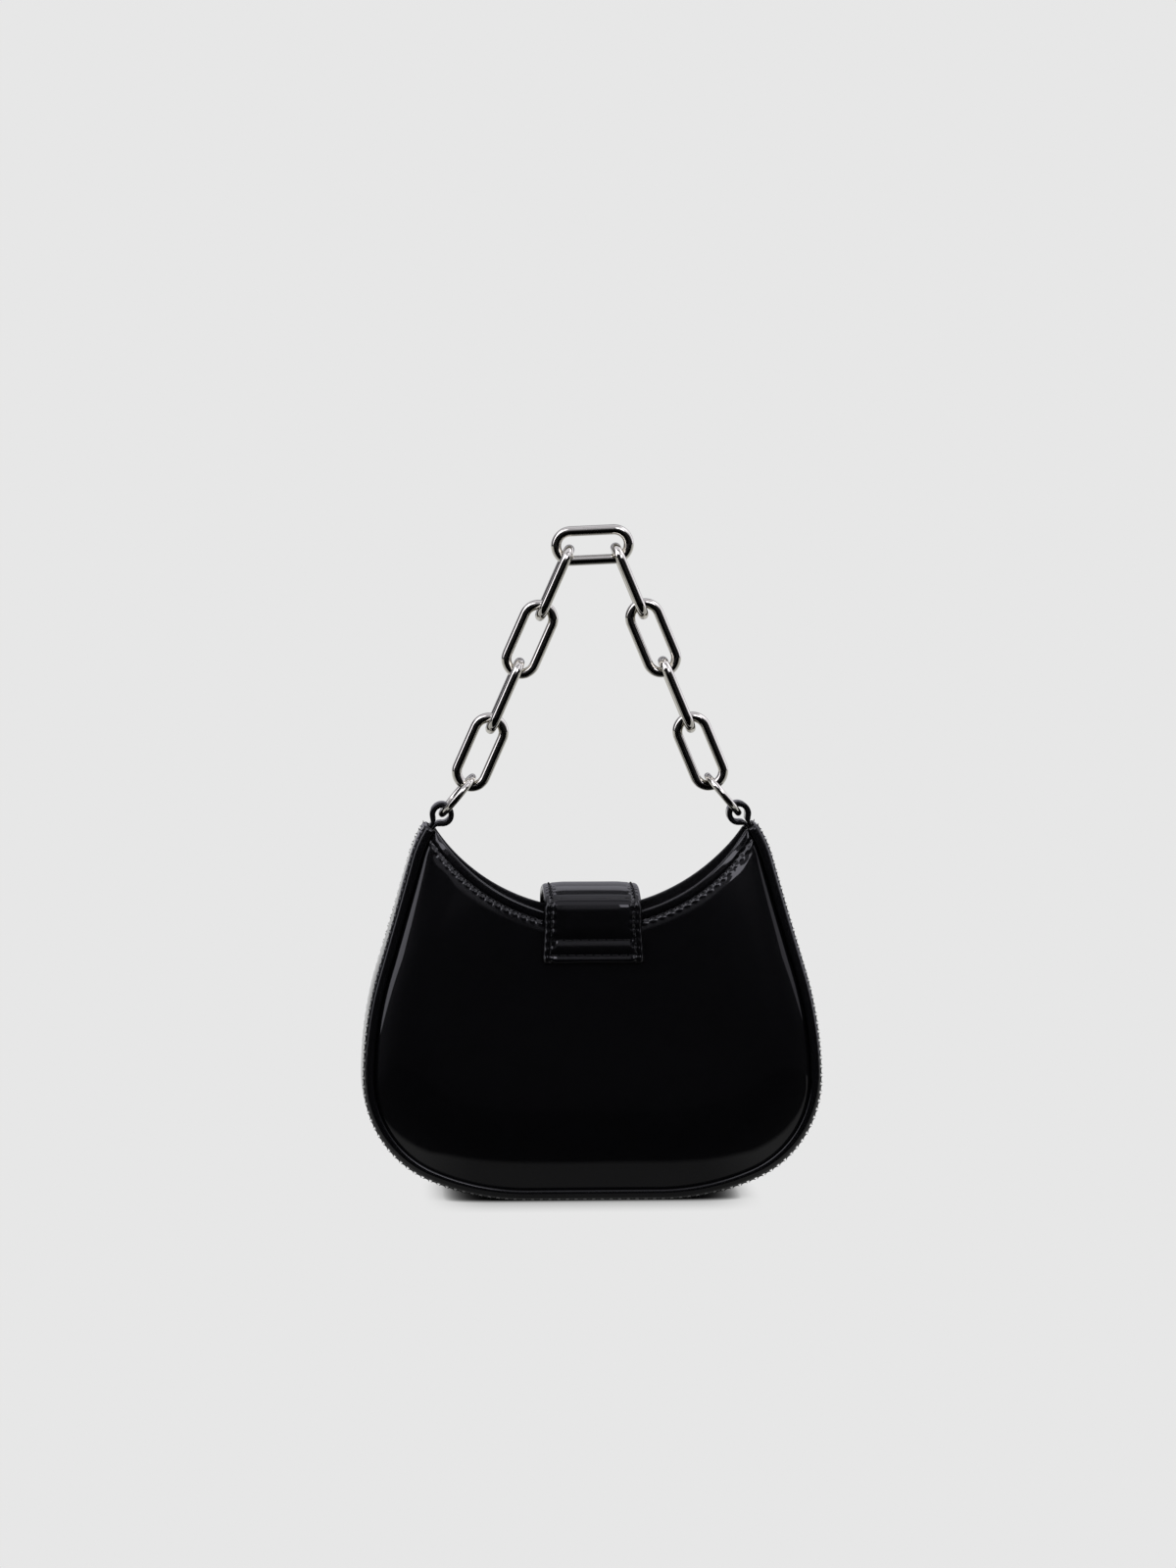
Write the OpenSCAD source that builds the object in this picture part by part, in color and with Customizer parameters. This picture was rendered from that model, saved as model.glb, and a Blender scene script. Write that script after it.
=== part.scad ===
// Mini bag: patent leather body with a curved open mouth, a short chain handle and a closing tab.
// X runs across the bag, Y from back to front, Z up. The base lies on Z = 0.

/* [Body] */
// Greatest width of the body, across the sides
body_w = 201; // [192:1:212]
// Height of the gusset's upper ends above the base
body_h = 162.5; // [156:0.5:170]
// Depth of the body along the base
base_depth = 62; // [54:1:70]
// Depth of the gusset at its upper ends
top_depth = 25; // [22:1:30]
// Radius of the lower corners, seen from the front
corner_r = 48; // [42:1:56]
// Radius of the shallow arc between the base and each lower corner
heel_r = 110; // [80:5:130]
// How far that arc turns, in degrees
heel_turn = 23; // [16:1:26]
// Radius where each side turns from upright to leaning
shoulder_r = 160; // [130:5:180]
// Lean of the sides above that, in degrees from upright
side_lean = 16.5; // [14:0.5:18]
// Radius of the inward turn at the gusset's upper ends
top_r = 50; // [40:1:60]
// Lean of the gusset's upper ends
top_lean = 35; // [30:1:38]
// How far the gusset's middle stands out past its seams
side_bulge = 0.8; // [0.4:0.1:2]
// How far the panels dome out past the gusset's edges
panel_dome = 7.5; // [4:0.5:9]
// Distance over which a panel's border rolls out to the full dome
roll_w = 45; // [30:1:60]
// Lowest point of the mouth's rim above the base
mouth_low = 122.5; // [116:0.5:127]

/* [Leather] */
// Thickness of the gusset leather
gusset_t = 1.8; // [1.2:0.1:2.4]
// Thickness of the panel leather
panel_t = 1.8; // [1.2:0.1:2.4]
// Width of the gusset's lap over each panel, from the gusset's face
lap_w = 4.6; // [4.2:0.2:7]
// Outside radius of the fold between the gusset's face and its lap
fold_r = 3; // [2.5:0.1:4]
// Thickness of the facing inside the mouth
facing_t = 1.6; // [1.4:0.1:2]
// Height of the facing below the rim
facing_h = 26; // [18:1:32]

/* [Inside] */
// Thickness of the panel stiffeners
stiff_t = 0.8; // [0.5:0.1:1]
// Thickness of the base board
board_t = 2; // [1.5:0.1:2.5]
// Corner radius of the base board
board_r = 8; // [4:1:12]

/* [Closing tab] */
// Width of the tab where it crosses the mouth
tab_w = 42; // [34:1:48]
// Width of the tab's sewn end on the back
tab_root_w = 44; // [42:0.5:52]
// Width of the tab's free end on the front
tab_tip_w = 38; // [30:1:44]
// Thickness of the tab's outer leather
tab_outer_t = 1.6; // [1.2:0.1:2]
// Thickness of the tab's inner leather
tab_inner_t = 1.4; // [1:0.1:2]
// Height of the tab's crown above the base
tab_top = 135.5; // [133:0.5:140]
// Height of the sewn end's lower edge
tab_root_low = 103; // [98:1:106]
// Height at which the tab bends when it opens, just above its stitches
tab_hinge = 118; // [115:0.5:120]
// Height of the free end's lower edge
tab_tip_low = 92; // [84:1:98]
// Radius of the free end's corners
tab_corner_r = 7; // [4:1:12]
// Radius of the sewn end's corners
tab_root_r = 1.6; // [1:0.2:4]
// Radius of the hidden magnet
magnet_r = 6; // [4:0.5:8]
// Height of the hidden magnet
magnet_z = 102; // [99:0.5:106]
// Depth of the pocket for the steel disc in the front panel
keeper_t = 0.9; // [0.5:0.1:1]

/* [Ring and loop] */
// Wire diameter of the rings
ring_wire = 3; // [2.6:0.1:3.4]
// Radius of the rings to the middle of the wire
ring_r = 10.45; // [9.5:0.05:12]
// Tilt of the rings above level
ring_lean = 50; // [48:1:54]
// Thickness of the loop leather
loop_t = 1.4; // [1:0.1:1.6]
// Bore radius of the loops
loop_bore = 3.5; // [3.4:0.1:4]
// Width of the loops from back to front
loop_w = 10.5; // [8:0.5:11]
// Length of the loop between the gusset's end and its eye
loop_neck = 2.4; // [1.5:0.1:4]
// Length of the sewn tail inside the gusset
loop_tail = 14; // [8:1:20]

/* [Chain] */
// Outside length of a link
link_l = 36.1; // [34:0.1:38]
// Outside width of a link
link_w = 17.2; // [17:0.1:19]
// Wire diameter of the links
link_wire = 4.4; // [4:0.1:4.5]
// Clearance where links hook through each other and the rings
link_gap = 0.4; // [0.2:0.05:0.4]
// How far the lowest links stand out across the rings
link_shift = 1.3; // [0.8:0.1:1.8]
// How far the top link lies off the middle, which tilts it
top_link_off = 1; // [0:0.1:1.5]

/* [Hidden] */

patent = "#0b0b0e";
matte = "#191a1c";
cloth = "#2b2b30";
board = "#6d5f4d";
nickel = "#c8c9cc";
steel = "#8e9196";

// Running clearance between the tab and the body
tab_gap = 0.3;
// Overrun of every cut past the face that it leaves
cut_over = 1;
// Gap between the base board and the leather round it
board_gap = 0.3;
// Gap between the layers of a wall, and between the loops' tails and the gusset
layer_gap = 0.12;
// Thickness of the lining cloth, which makes the stiffener up to the facing's thickness
lining_t = facing_t - stiff_t - layer_gap;
// Strip of panel between the gusset's lap and the end of the mouth
rim_end = 1.5;
// Power of the dome's border: higher rolls harder
roll_power = 2.5;
// Power with which the gusset's bulge dies out at its upper ends
bulge_power = 6;
round_fn = 48;

// Outline of the body, seen from the front, right half: [x, z, direction of the outward normal]
base_half = body_w / 2 - corner_r - (heel_r - corner_r) * sin(heel_turn);
corner_x = body_w / 2 - corner_r;
corner_z = heel_r - (heel_r - corner_r) * cos(heel_turn);
shoulder_x = body_w / 2 - shoulder_r;
lean_x = shoulder_x + shoulder_r * cos(side_lean);
lean_z = corner_z + shoulder_r * sin(side_lean);
turn_z = body_h - top_r * (sin(top_lean) - sin(side_lean));
turn_x = lean_x - (turn_z - lean_z) * tan(side_lean);
turn_cx = turn_x - top_r * cos(side_lean);
turn_cz = turn_z - top_r * sin(side_lean);

function arc_stations(cx, cz, r, from, to, steps) =
    [for (i = [0 : steps - 1]) let (a = from + (to - from) * i / steps)
        [cx + r * cos(a), cz + r * sin(a), a]];
function line_stations(x0, z0, x1, z1, a, steps) =
    [for (i = [0 : steps - 1]) [x0 + (x1 - x0) * i / steps, z0 + (z1 - z0) * i / steps, a]];

right_half = concat(
    line_stations(0, 0, base_half, 0, -90, 2),
    arc_stations(base_half, heel_r, heel_r, -90, heel_turn - 90, 3),
    arc_stations(corner_x, corner_z, corner_r, heel_turn - 90, 0, 6),
    arc_stations(shoulder_x, corner_z, shoulder_r, 0, side_lean, 2),
    line_stations(lean_x, lean_z, turn_x, turn_z, side_lean, 3),
    arc_stations(turn_cx, turn_cz, top_r, side_lean, top_lean, 3),
    [[turn_cx + top_r * cos(top_lean), turn_cz + top_r * sin(top_lean), top_lean]]);
half_count = len(right_half);
stations = concat(
    [for (i = [half_count - 1 : -1 : 1]) let (s = right_half[i]) [-s[0], s[1], 180 - s[2]]],
    right_half);
station_count = len(stations);

// Half depth of the gusset at a height, and how far its middle stands out there
function half_depth(z) = (base_depth + (top_depth - base_depth) * z / body_h) / 2;
function bulge(z) = side_bulge * min(1, z / corner_z) * (1 - pow(min(1, z / body_h), bulge_power));
// Point at a distance inside the outline, at depth y, and the half depth there
function inside(s, n, y) = [s[0] - n * cos(s[2]), y, s[1] - n * sin(s[2])];
function lap_half(s, n) = half_depth(s[1] - n * sin(s[2]));
// Half depth of the panels' outer face, just inside the gusset's lap
function panel_half(z) = half_depth(z) - gusset_t - layer_gap;

// The mouth is an arc through its low point and the two upper corners of the panels
mouth_end = inside(right_half[half_count - 1], lap_w + rim_end, 0);
mouth_rise = mouth_end[2] - mouth_low;
mouth_r = (mouth_end[0] * mouth_end[0] + mouth_rise * mouth_rise) / (2 * mouth_rise);
mouth_half = asin(mouth_end[0] / mouth_r);
mouth_cz = mouth_low + mouth_r;

// Share of the way along the outline from the middle of the base to an upper end
function run(k) = k == 0 ? 0 : run(k - 1) + norm([right_half[k][0] - right_half[k - 1][0],
    right_half[k][1] - right_half[k - 1][1]]);
run_all = run(half_count - 1);
half_shares = [for (k = [0 : half_count - 1]) run(k) / run_all];
function way(i) = i >= half_count - 1 ? half_shares[i - half_count + 1]
    : -half_shares[half_count - 1 - i];
function rim(i) = [mouth_r * sin(mouth_half * way(i)), 0, mouth_cz - mouth_r * cos(mouth_half * way(i))];

// A panel spans from the gusset's lap to the rim, along one straight line for each station
function lap_edge(i) = inside(stations[i], bulge(stations[i][1]) + lap_w, 0);
function span(i) = norm(rim(i) - lap_edge(i));
full_span = max([for (i = [0 : station_count - 1]) span(i)]);
function dome(i, share) = let (l = span(i), rise = panel_dome * (1 - pow(1 - l / full_span, 2)))
    rise * (1 - pow(1 - min(1, share * l / roll_w), roll_power));
// Point of a panel at a share of its span; side is -1 for the back and 1 for the front
function on_panel(i, share, depth, side) =
    let (p = lap_edge(i) + (rim(i) - lap_edge(i)) * share)
    [p[0], side * (panel_half(p[2]) + dome(i, share) - depth), p[2]];
// Point of the flat border under the lap, a distance n inside the gusset's face
function on_border(i, n, depth, side) =
    let (p = inside(stations[i], bulge(stations[i][1]) + n, 0))
    [p[0], side * (panel_half(p[2]) - depth), p[2]];
function facing_from(i) = 1 - min(facing_h, span(i) * facing_share) / span(i);
// Most of a short span that the facing covers
facing_share = 0.9;

panel_shares = [0, 0.06, 0.14, 0.26, 0.45, 0.72, 1];
lining_shares = [0, 0.08, 0.18, 0.34, 0.6, 1];
facing_shares = [0, 0.5, 1];
// Stations at each end where the facing alone backs the panel
end_skip = 4;

// Closed sheet between two grids of points of the same size, the outer one first
module sheet(outer, inner) {
    rows = len(outer);
    cols = len(outer[0]);
    points = concat([for (r = outer) each r], [for (r = inner) each r]);
    function at(side, i, j) = side * rows * cols + i * cols + j;
    faces = concat(
        [for (i = [0 : rows - 2], j = [0 : cols - 2]) each [
            [at(0, i, j), at(0, i, j + 1), at(0, i + 1, j + 1)],
            [at(0, i, j), at(0, i + 1, j + 1), at(0, i + 1, j)],
            [at(1, i, j), at(1, i + 1, j + 1), at(1, i, j + 1)],
            [at(1, i, j), at(1, i + 1, j), at(1, i + 1, j + 1)]]],
        [for (i = [0 : rows - 2]) each [
            [at(0, i, 0), at(0, i + 1, 0), at(1, i + 1, 0)],
            [at(0, i, 0), at(1, i + 1, 0), at(1, i, 0)],
            [at(0, i, cols - 1), at(1, i + 1, cols - 1), at(0, i + 1, cols - 1)],
            [at(0, i, cols - 1), at(1, i, cols - 1), at(1, i + 1, cols - 1)]]],
        [for (j = [0 : cols - 2]) each [
            [at(0, 0, j), at(1, 0, j + 1), at(0, 0, j + 1)],
            [at(0, 0, j), at(1, 0, j), at(1, 0, j + 1)],
            [at(0, rows - 1, j), at(0, rows - 1, j + 1), at(1, rows - 1, j + 1)],
            [at(0, rows - 1, j), at(1, rows - 1, j + 1), at(1, rows - 1, j)]]]);
    polyhedron(points, faces);
}

// Sheet of panel leather, board or cloth between two depths: a border row, then shares of the span
module panel_sheet(side, first, last, edge_n, shares, from, to, depth0, depth1) {
    function grid(depth) = [for (i = [first : last]) concat(
        edge_n > 0 ? [on_border(i, edge_n, depth, side)] : [],
        [for (s = shares) on_panel(i, from(i) + (to(i) - from(i)) * s, depth, side)])];
    if (side < 0)
        sheet(grid(depth0), grid(depth1));
    else
        sheet(grid(depth1), grid(depth0));
}

module panel(side)
    panel_sheet(side, 0, station_count - 1, fold_r, panel_shares,
        function (i) 0, function (i) 1, 0, panel_t);

module back_panel() {
    color(patent) panel(-1);
}

// The front panel has a shallow pocket behind its face for the closure's steel disc
module front_panel() {
    color(patent) difference() {
        panel(1);
        keeper(cut_over);
    }
}

// Across the gusset: lap, fold, face, a level middle for the loops, and the same again,
// as [distance inside the outline, y]
function gusset_row(s, t) =
    let (b = bulge(s[1]), h = lap_half(s, b + fold_r), flat = h - fold_r, r = fold_r - t,
        half = [[b + lap_w, lap_half(s, b + lap_w) - t], [b + fold_r, h - t],
            [b + fold_r - r * sin(45), flat + r * cos(45)], [b + t, flat],
            [b * pow(face_share, 2) + t, level_half + (flat - level_half) * face_share],
            [t, level_half]])
    concat([for (p = half) inside(s, p[0], -p[1])],
        [for (k = [len(half) - 1 : -1 : 0]) inside(s, half[k][0], half[k][1])]);
// Place of the bulge's shoulder across the gusset's face
face_share = 0.55;
// Half width of the gusset's level middle
level_half = loop_w / 2 + layer_gap;

module gusset() {
    color(patent) sheet([for (s = stations) gusset_row(s, 0)], [for (s = stations) gusset_row(s, gusset_t)]);
}

// Depth at which the facing and the stiffener lie behind a panel's outer face
facing_depth = panel_t + layer_gap;
module facing(side)
    color(matte) panel_sheet(side, 0, station_count - 1, 0, facing_shares,
        function (i) facing_from(i), function (i) 1, facing_depth, facing_depth + facing_t);

module stiffener(side)
    color(board) panel_sheet(side, end_skip, station_count - 1 - end_skip, 0, lining_shares,
        function (i) 0, function (i) facing_from(i), facing_depth, facing_depth + stiff_t);

// The lining starts just inside the gusset's own lining and ends at the facing
lining_n = gusset_t + board_t + lining_t;
module lining(side)
    color(cloth) panel_sheet(side, end_skip, station_count - 1 - end_skip, lining_n, lining_shares,
        function (i) 0, function (i) facing_from(i), facing_depth + stiff_t + layer_gap,
        facing_depth + facing_t);

module facing_back() { facing(-1); }
module facing_front() { facing(1); }
module stiffener_back() { stiffener(-1); }
module stiffener_front() { stiffener(1); }
module lining_back() { lining(-1); }
module lining_front() { lining(1); }

// Cloth along the inside of the gusset, between the two panels
function lining_row(s, n) =
    let (b = bulge(s[1]), y = panel_half(s[1] - (b + n) * sin(s[2])) - panel_t - layer_gap)
    [for (k = lining_across_shares) inside(s, b * k * k + n, y * k)];
lining_across_shares = [-1, -0.5, 0, 0.5, 1];
module lining_gusset() {
    rows = [for (i = [end_skip : station_count - 1 - end_skip]) stations[i]];
    color(cloth) sheet([for (s = rows) lining_row(s, gusset_t + board_t)],
        [for (s = rows) lining_row(s, lining_n)]);
}

module rounded_plate(w, d, r, t)
    linear_extrude(t) union() {
        square([w - 2 * r, d], center = true);
        square([w, d - 2 * r], center = true);
        for (x = [-1, 1], y = [-1, 1])
            translate([x * (w / 2 - r), y * (d / 2 - r)]) circle(r, $fn = round_fn);
    }

board_d = 2 * (panel_half(gusset_t + board_t) - panel_t - board_gap);
module base_board() {
    color(board) translate([0, 0, gusset_t])
        rounded_plate(2 * base_half, board_d, board_r, board_t);
}

// Leather loop: an eye for the ring and a tail that follows the gusset's upper end inside
eye_r = loop_bore + loop_t;
tail_t = 2 * loop_t;
tail_r = top_r - gusset_t - layer_gap - loop_t;
// Angle that the eye's middle stands past the gusset's end, seen from the centre of its upper turn
eye_past = (eye_r + loop_neck) * 180 / (PI * tail_r);
eye_x = turn_cx + tail_r * cos(top_lean + eye_past);
eye_z = turn_cz + tail_r * sin(top_lean + eye_past);

module along_y(x, z) translate([x, 0, z]) rotate([90, 0, 0]) children();

module loop() {
    sweep = (loop_tail + loop_neck + eye_r) * 180 / (PI * tail_r);
    difference() {
        union() {
            along_y(eye_x, eye_z) cylinder(h = loop_w, r = eye_r, center = true, $fn = round_fn);
            along_y(turn_cx, turn_cz) rotate([0, 0, top_lean + eye_past - sweep])
                rotate_extrude(angle = sweep, $fn = 2 * round_fn)
                    translate([tail_r - tail_t / 2, -loop_w / 2]) square([tail_t, loop_w]);
        }
        along_y(eye_x, eye_z)
            cylinder(h = loop_w + 2 * cut_over, r = loop_bore, center = true, $fn = round_fn);
    }
}

module loop_right() { color(patent) loop(); }
module loop_left() { color(patent) mirror([1, 0, 0]) loop(); }

// Ring through the loop's eye, tilted in towards the chain
ring_x = eye_x - ring_r * cos(ring_lean);
ring_z = eye_z + ring_r * sin(ring_lean);
module ring()
    translate([ring_x, 0, ring_z]) rotate([0, ring_lean, 0])
        rotate_extrude($fn = 2 * round_fn) translate([ring_r, 0]) circle(d = ring_wire, $fn = round_fn);

module ring_right() { color(nickel) ring(); }
module ring_left() { color(nickel) mirror([1, 0, 0]) ring(); }

// Stadium link of round wire, long axis along Z, flat in the XZ plane
bend_r = (link_w - link_wire) / 2;
straight = link_l - link_w;
module link()
    rotate([90, 0, 0]) for (end = [-1, 1]) {
        translate([0, end * straight / 2]) rotate([0, 0, end > 0 ? 0 : 180])
            rotate_extrude(angle = 180, $fn = 2 * round_fn)
                translate([bend_r, 0]) circle(d = link_wire, $fn = round_fn);
        translate([end * bend_r, 0, 0]) rotate([90, 0, 0])
            cylinder(h = straight, d = link_wire, center = true, $fn = round_fn);
    }

// The links of a side lie in one line from the ring's wire to the top link's end bend
ring_top_x = eye_x - 2 * ring_r * cos(ring_lean);
ring_top_z = eye_z + 2 * ring_r * sin(ring_lean);
ring_reach = bend_r - (link_wire + ring_wire) / 2 - link_gap;
first_rise = straight / 2 + sqrt(ring_reach * ring_reach - link_shift * link_shift);
half_pitch = straight / 2 + bend_r - (link_wire + link_gap) / 2;
side_len = first_rise + 6 * half_pitch + straight / 2 + 2 * bend_r - link_wire - link_gap;
// Lean of a side, from the distance across between the ring's wire and that bend's centre
function bend_x(side) = straight / 2 + side * top_link_off;
function lean(side) = atan(link_shift / side_len)
    + asin((ring_top_x - bend_x(side)) / norm([side_len, link_shift]));
function along(side, l) = let (a = lean(side))
    [ring_top_x + link_shift * cos(a) - l * sin(a), ring_top_z + link_shift * sin(a) + l * cos(a)];
bend_z_left = along(-1, side_len)[1];
bend_z_right = along(1, side_len)[1];

// Link k of a side, counted from the ring; odd ones stand edge-on to the front
module side_link(side, k) {
    place = along(side, first_rise + 2 * k * half_pitch);
    color(nickel) mirror([side < 0 ? 1 : 0, 0, 0]) translate([place[0], 0, place[1]])
        rotate([0, -lean(side), 0]) rotate([0, 0, k % 2 == 0 ? 0 : 90]) link();
}

// The top link lies level between the two sides, with the tilt that their ends give it
module link_5() {
    color(nickel) translate([top_link_off, 0, (bend_z_left + bend_z_right) / 2])
        rotate([0, 90 - asin((bend_z_right - bend_z_left) / straight), 0]) link();
}

// The tab's profile in the YZ plane: up the back panel, over the mouth, down the front panel
leg_lean = atan((base_depth - top_depth) / 2 / body_h);
rim_y = panel_half(mouth_low) + panel_dome;
tab_t = tab_outer_t + tab_inner_t;
// Direction, from upright, where the tab's tight bend at the rim passes into its wide crown
crown_from = 70;
// Height of the tab's bend above the rim's low point, past the rim at the tab's sides
rim_room = 3.3;
bend_z = mouth_low + rim_room;
bend_y = rim_y + tab_gap / cos(leg_lean) - rim_room * tan(leg_lean);
crown_rise = tab_top - tab_t - bend_z;
// The bend's and the crown's radii close the profile over the half depth and the rise
near_y = cos(leg_lean) - cos(crown_from);
near_z = sin(crown_from) - sin(leg_lean);
crown_y = cos(crown_from);
crown_z = 1 - sin(crown_from);
shoulder_bend_r = (crown_rise * crown_y - bend_y * crown_z) / (near_z * crown_y - near_y * crown_z);
crown_r = (bend_y - shoulder_bend_r * near_y) / crown_y;

// Points of the profile at a height off its inner face, as [y, z], from a height on the back
// leg to a height on the front leg
bend_steps = 5;
crown_steps = 6;
function leg_point(side, z, off) = let (y = bend_y + (bend_z - z) * tan(leg_lean))
    [side * (y + off * cos(leg_lean)), z + off * sin(leg_lean)];
function bend_point(a, off) = [-bend_y + shoulder_bend_r * cos(leg_lean) - (shoulder_bend_r + off) * cos(a),
    bend_z - shoulder_bend_r * sin(leg_lean) + (shoulder_bend_r + off) * sin(a)];
function crown_point(a, off) = [-(crown_r + off) * cos(a),
    tab_top - tab_t - crown_r + (crown_r + off) * sin(a)];
function arch(off) = concat(
    [for (i = [0 : bend_steps]) bend_point(leg_lean + (crown_from - leg_lean) * i / bend_steps, off)],
    [for (i = [1 : crown_steps]) crown_point(crown_from + (90 - crown_from) * i / crown_steps, off)]);
function over(off) = let (a = arch(off))
    concat(a, [for (i = [len(a) - 2 : -1 : 0]) [-a[i][0], a[i][1]]]);
function back_first(points) = [for (i = [len(points) - 1 : -1 : 0]) points[i]];

// Layer of the tab's moving part, from off0 to off1 above its inner face, as wide as needed
module moving_layer(off0, off1)
    intersection() {
        rotate([90, 0, 90]) translate([0, 0, -tab_w / 2]) linear_extrude(tab_w)
            polygon(concat([leg_point(-1, tab_hinge + tab_gap, off0)], over(off0),
                [leg_point(1, tab_tip_low, off0), leg_point(1, tab_tip_low, off1)],
                back_first(over(off1)), [leg_point(-1, tab_hinge + tab_gap, off1)]));
        union() {
            translate([-tab_w / 2, -base_depth, tab_hinge])
                cube([tab_w, base_depth + cut_over, tab_top - tab_hinge + cut_over]);
            rotate([90, 0, 0]) translate([0, 0, -base_depth]) linear_extrude(base_depth) front_outline();
        }
    }

// The free end, seen from the front: it narrows to its rounded corners
module front_outline() {
    union() {
        translate([-tab_tip_w / 2 + tab_corner_r, tab_tip_low + tab_corner_r])
            circle(tab_corner_r, $fn = round_fn);
        translate([tab_tip_w / 2 - tab_corner_r, tab_tip_low + tab_corner_r])
            circle(tab_corner_r, $fn = round_fn);
        translate([-tab_tip_w / 2 + tab_corner_r, tab_tip_low - tab_gap])
            square([tab_tip_w - 2 * tab_corner_r, tab_corner_r + tab_gap]);
        polygon([[-tab_tip_w / 2, tab_tip_low + tab_corner_r], [tab_tip_w / 2, tab_tip_low + tab_corner_r],
            [tab_w / 2, bend_z], [tab_w / 2, tab_top + cut_over],
            [-tab_w / 2, tab_top + cut_over], [-tab_w / 2, bend_z]]);
    }
}

module flap_strap() {
    color(patent) moving_layer(tab_inner_t, tab_t);
}

module flap_backing() {
    color(matte) difference() {
        moving_layer(0, tab_inner_t);
        magnet(cut_over);
    }
}

// Disc square to the front leg; spare lengthens the magnet both ways and the keeper inwards, for a cut
module on_front_leg(off) {
    p = leg_point(1, magnet_z, off);
    translate([0, p[0], p[1]]) rotate([-90 + leg_lean, 0, 0]) children();
}
module magnet(spare)
    on_front_leg(-spare) cylinder(h = tab_inner_t + 2 * spare, r = magnet_r, $fn = round_fn);
module flap_magnet() { color(steel) magnet(0); }

// Steel disc that the magnet pulls, in a pocket behind the front panel's face
module keeper(spare)
    on_front_leg(-tab_gap - panel_t - spare)
        cylinder(h = keeper_t + spare, r = magnet_r, $fn = round_fn);
module keeper_disc() { color(steel) keeper(0); }

// The tab's sewn end: both layers, flat on the back panel, wider at the bottom
module flap_anchor() {
    color(patent) intersection() {
        rotate([90, 0, 90]) translate([0, 0, -tab_root_w / 2]) linear_extrude(tab_root_w)
            polygon([leg_point(-1, tab_root_low, -tab_gap), leg_point(-1, tab_hinge, -tab_gap),
                leg_point(-1, tab_hinge, tab_t), leg_point(-1, tab_root_low, tab_t)]);
        rotate([90, 0, 0]) linear_extrude(base_depth) union() {
            for (x = [-1, 1])
                translate([x * (tab_root_w / 2 - tab_root_r), tab_root_low + tab_root_r])
                    circle(tab_root_r, $fn = round_fn);
            translate([-tab_root_w / 2 + tab_root_r, tab_root_low - tab_gap])
                square([tab_root_w - 2 * tab_root_r, tab_root_r + tab_gap]);
            polygon([[-tab_root_w / 2, tab_root_low + tab_root_r],
                [tab_root_w / 2, tab_root_low + tab_root_r],
                [tab_w / 2, tab_hinge], [tab_w / 2, tab_hinge + cut_over],
                [-tab_w / 2, tab_hinge + cut_over], [-tab_w / 2, tab_hinge]]);
        }
    }
}

back_panel();
front_panel();
gusset();
facing_back();
facing_front();
stiffener_back();
stiffener_front();
lining_back();
lining_front();
lining_gusset();
base_board();
loop_left();
loop_right();
ring_left();
ring_right();
side_link(-1, 0);  // link_1
side_link(-1, 1);  // link_2
side_link(-1, 2);  // link_3
side_link(-1, 3);  // link_4
link_5();
side_link(1, 3);  // link_6
side_link(1, 2);  // link_7
side_link(1, 1);  // link_8
side_link(1, 0);  // link_9
flap_anchor();
flap_strap();
flap_backing();
flap_magnet();
keeper_disc();
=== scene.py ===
# Dresses the mini bag's CAD frame: patent leather shell, stitched seams, padded closing tab and
# polished chain, with a plain studio. All lengths are metres, in the CAD frame:
# X across the bag, Y from back to front, Z up, the base on Z = 0.
import math

import bpy
import numpy as np
from mathutils import Matrix, Vector


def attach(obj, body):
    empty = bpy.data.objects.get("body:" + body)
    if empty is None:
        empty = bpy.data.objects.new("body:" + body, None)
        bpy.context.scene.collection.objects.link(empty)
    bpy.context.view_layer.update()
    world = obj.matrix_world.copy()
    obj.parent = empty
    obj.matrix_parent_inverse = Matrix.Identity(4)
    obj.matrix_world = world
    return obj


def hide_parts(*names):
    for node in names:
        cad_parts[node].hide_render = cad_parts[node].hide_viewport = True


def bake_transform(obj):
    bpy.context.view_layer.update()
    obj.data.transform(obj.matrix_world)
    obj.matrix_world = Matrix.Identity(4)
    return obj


bl_info = {
    "name": "Mini bag",
    "version": (1, 0, 0),
    "blender": (4, 5, 0),
    "location": "3D View > Sidebar > Mini bag",
    "description": "Patent leather mini bag with a chain handle, built piece by piece",
    "category": "Object",
}

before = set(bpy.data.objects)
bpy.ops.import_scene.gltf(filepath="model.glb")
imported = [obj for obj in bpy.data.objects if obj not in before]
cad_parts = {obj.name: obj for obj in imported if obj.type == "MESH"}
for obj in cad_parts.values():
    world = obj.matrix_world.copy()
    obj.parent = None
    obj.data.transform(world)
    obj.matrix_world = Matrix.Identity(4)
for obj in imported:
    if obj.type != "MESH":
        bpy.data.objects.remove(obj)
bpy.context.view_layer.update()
MM = 0.001


def linear(code):
    """Linear RGB of an sRGB hex colour."""
    parts = [int(code[i : i + 2], 16) / 255 for i in (1, 3, 5)]
    return tuple(c / 12.92 if c <= 0.04045 else ((c + 0.055) / 1.055) ** 2.4 for c in parts)


def clamp(value):
    return min(1, max(0, value))


def dip(distance, width):
    """Share of its full depth that a smooth hollow has at a distance from its middle."""
    return math.exp(-((distance / width) ** 2))


# Distances of the two rows across the tab's sewn end from that end
ROOT_ROWS = (3.4 * MM, 10 * MM)
# Distance of the stitches from the gusset's lap edge, over the lap and round its fold
LAP_ROW = 5.4 * MM

# Sizes and colours


def length(name, description, millimetres, least=0.0):
    return bpy.props.FloatProperty(
        name=name, description=description, default=millimetres * MM, min=least, unit="LENGTH", precision=4
    )


def angle(name, description, degrees):
    return bpy.props.FloatProperty(
        name=name, description=description, default=math.radians(degrees), subtype="ANGLE"
    )


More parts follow.
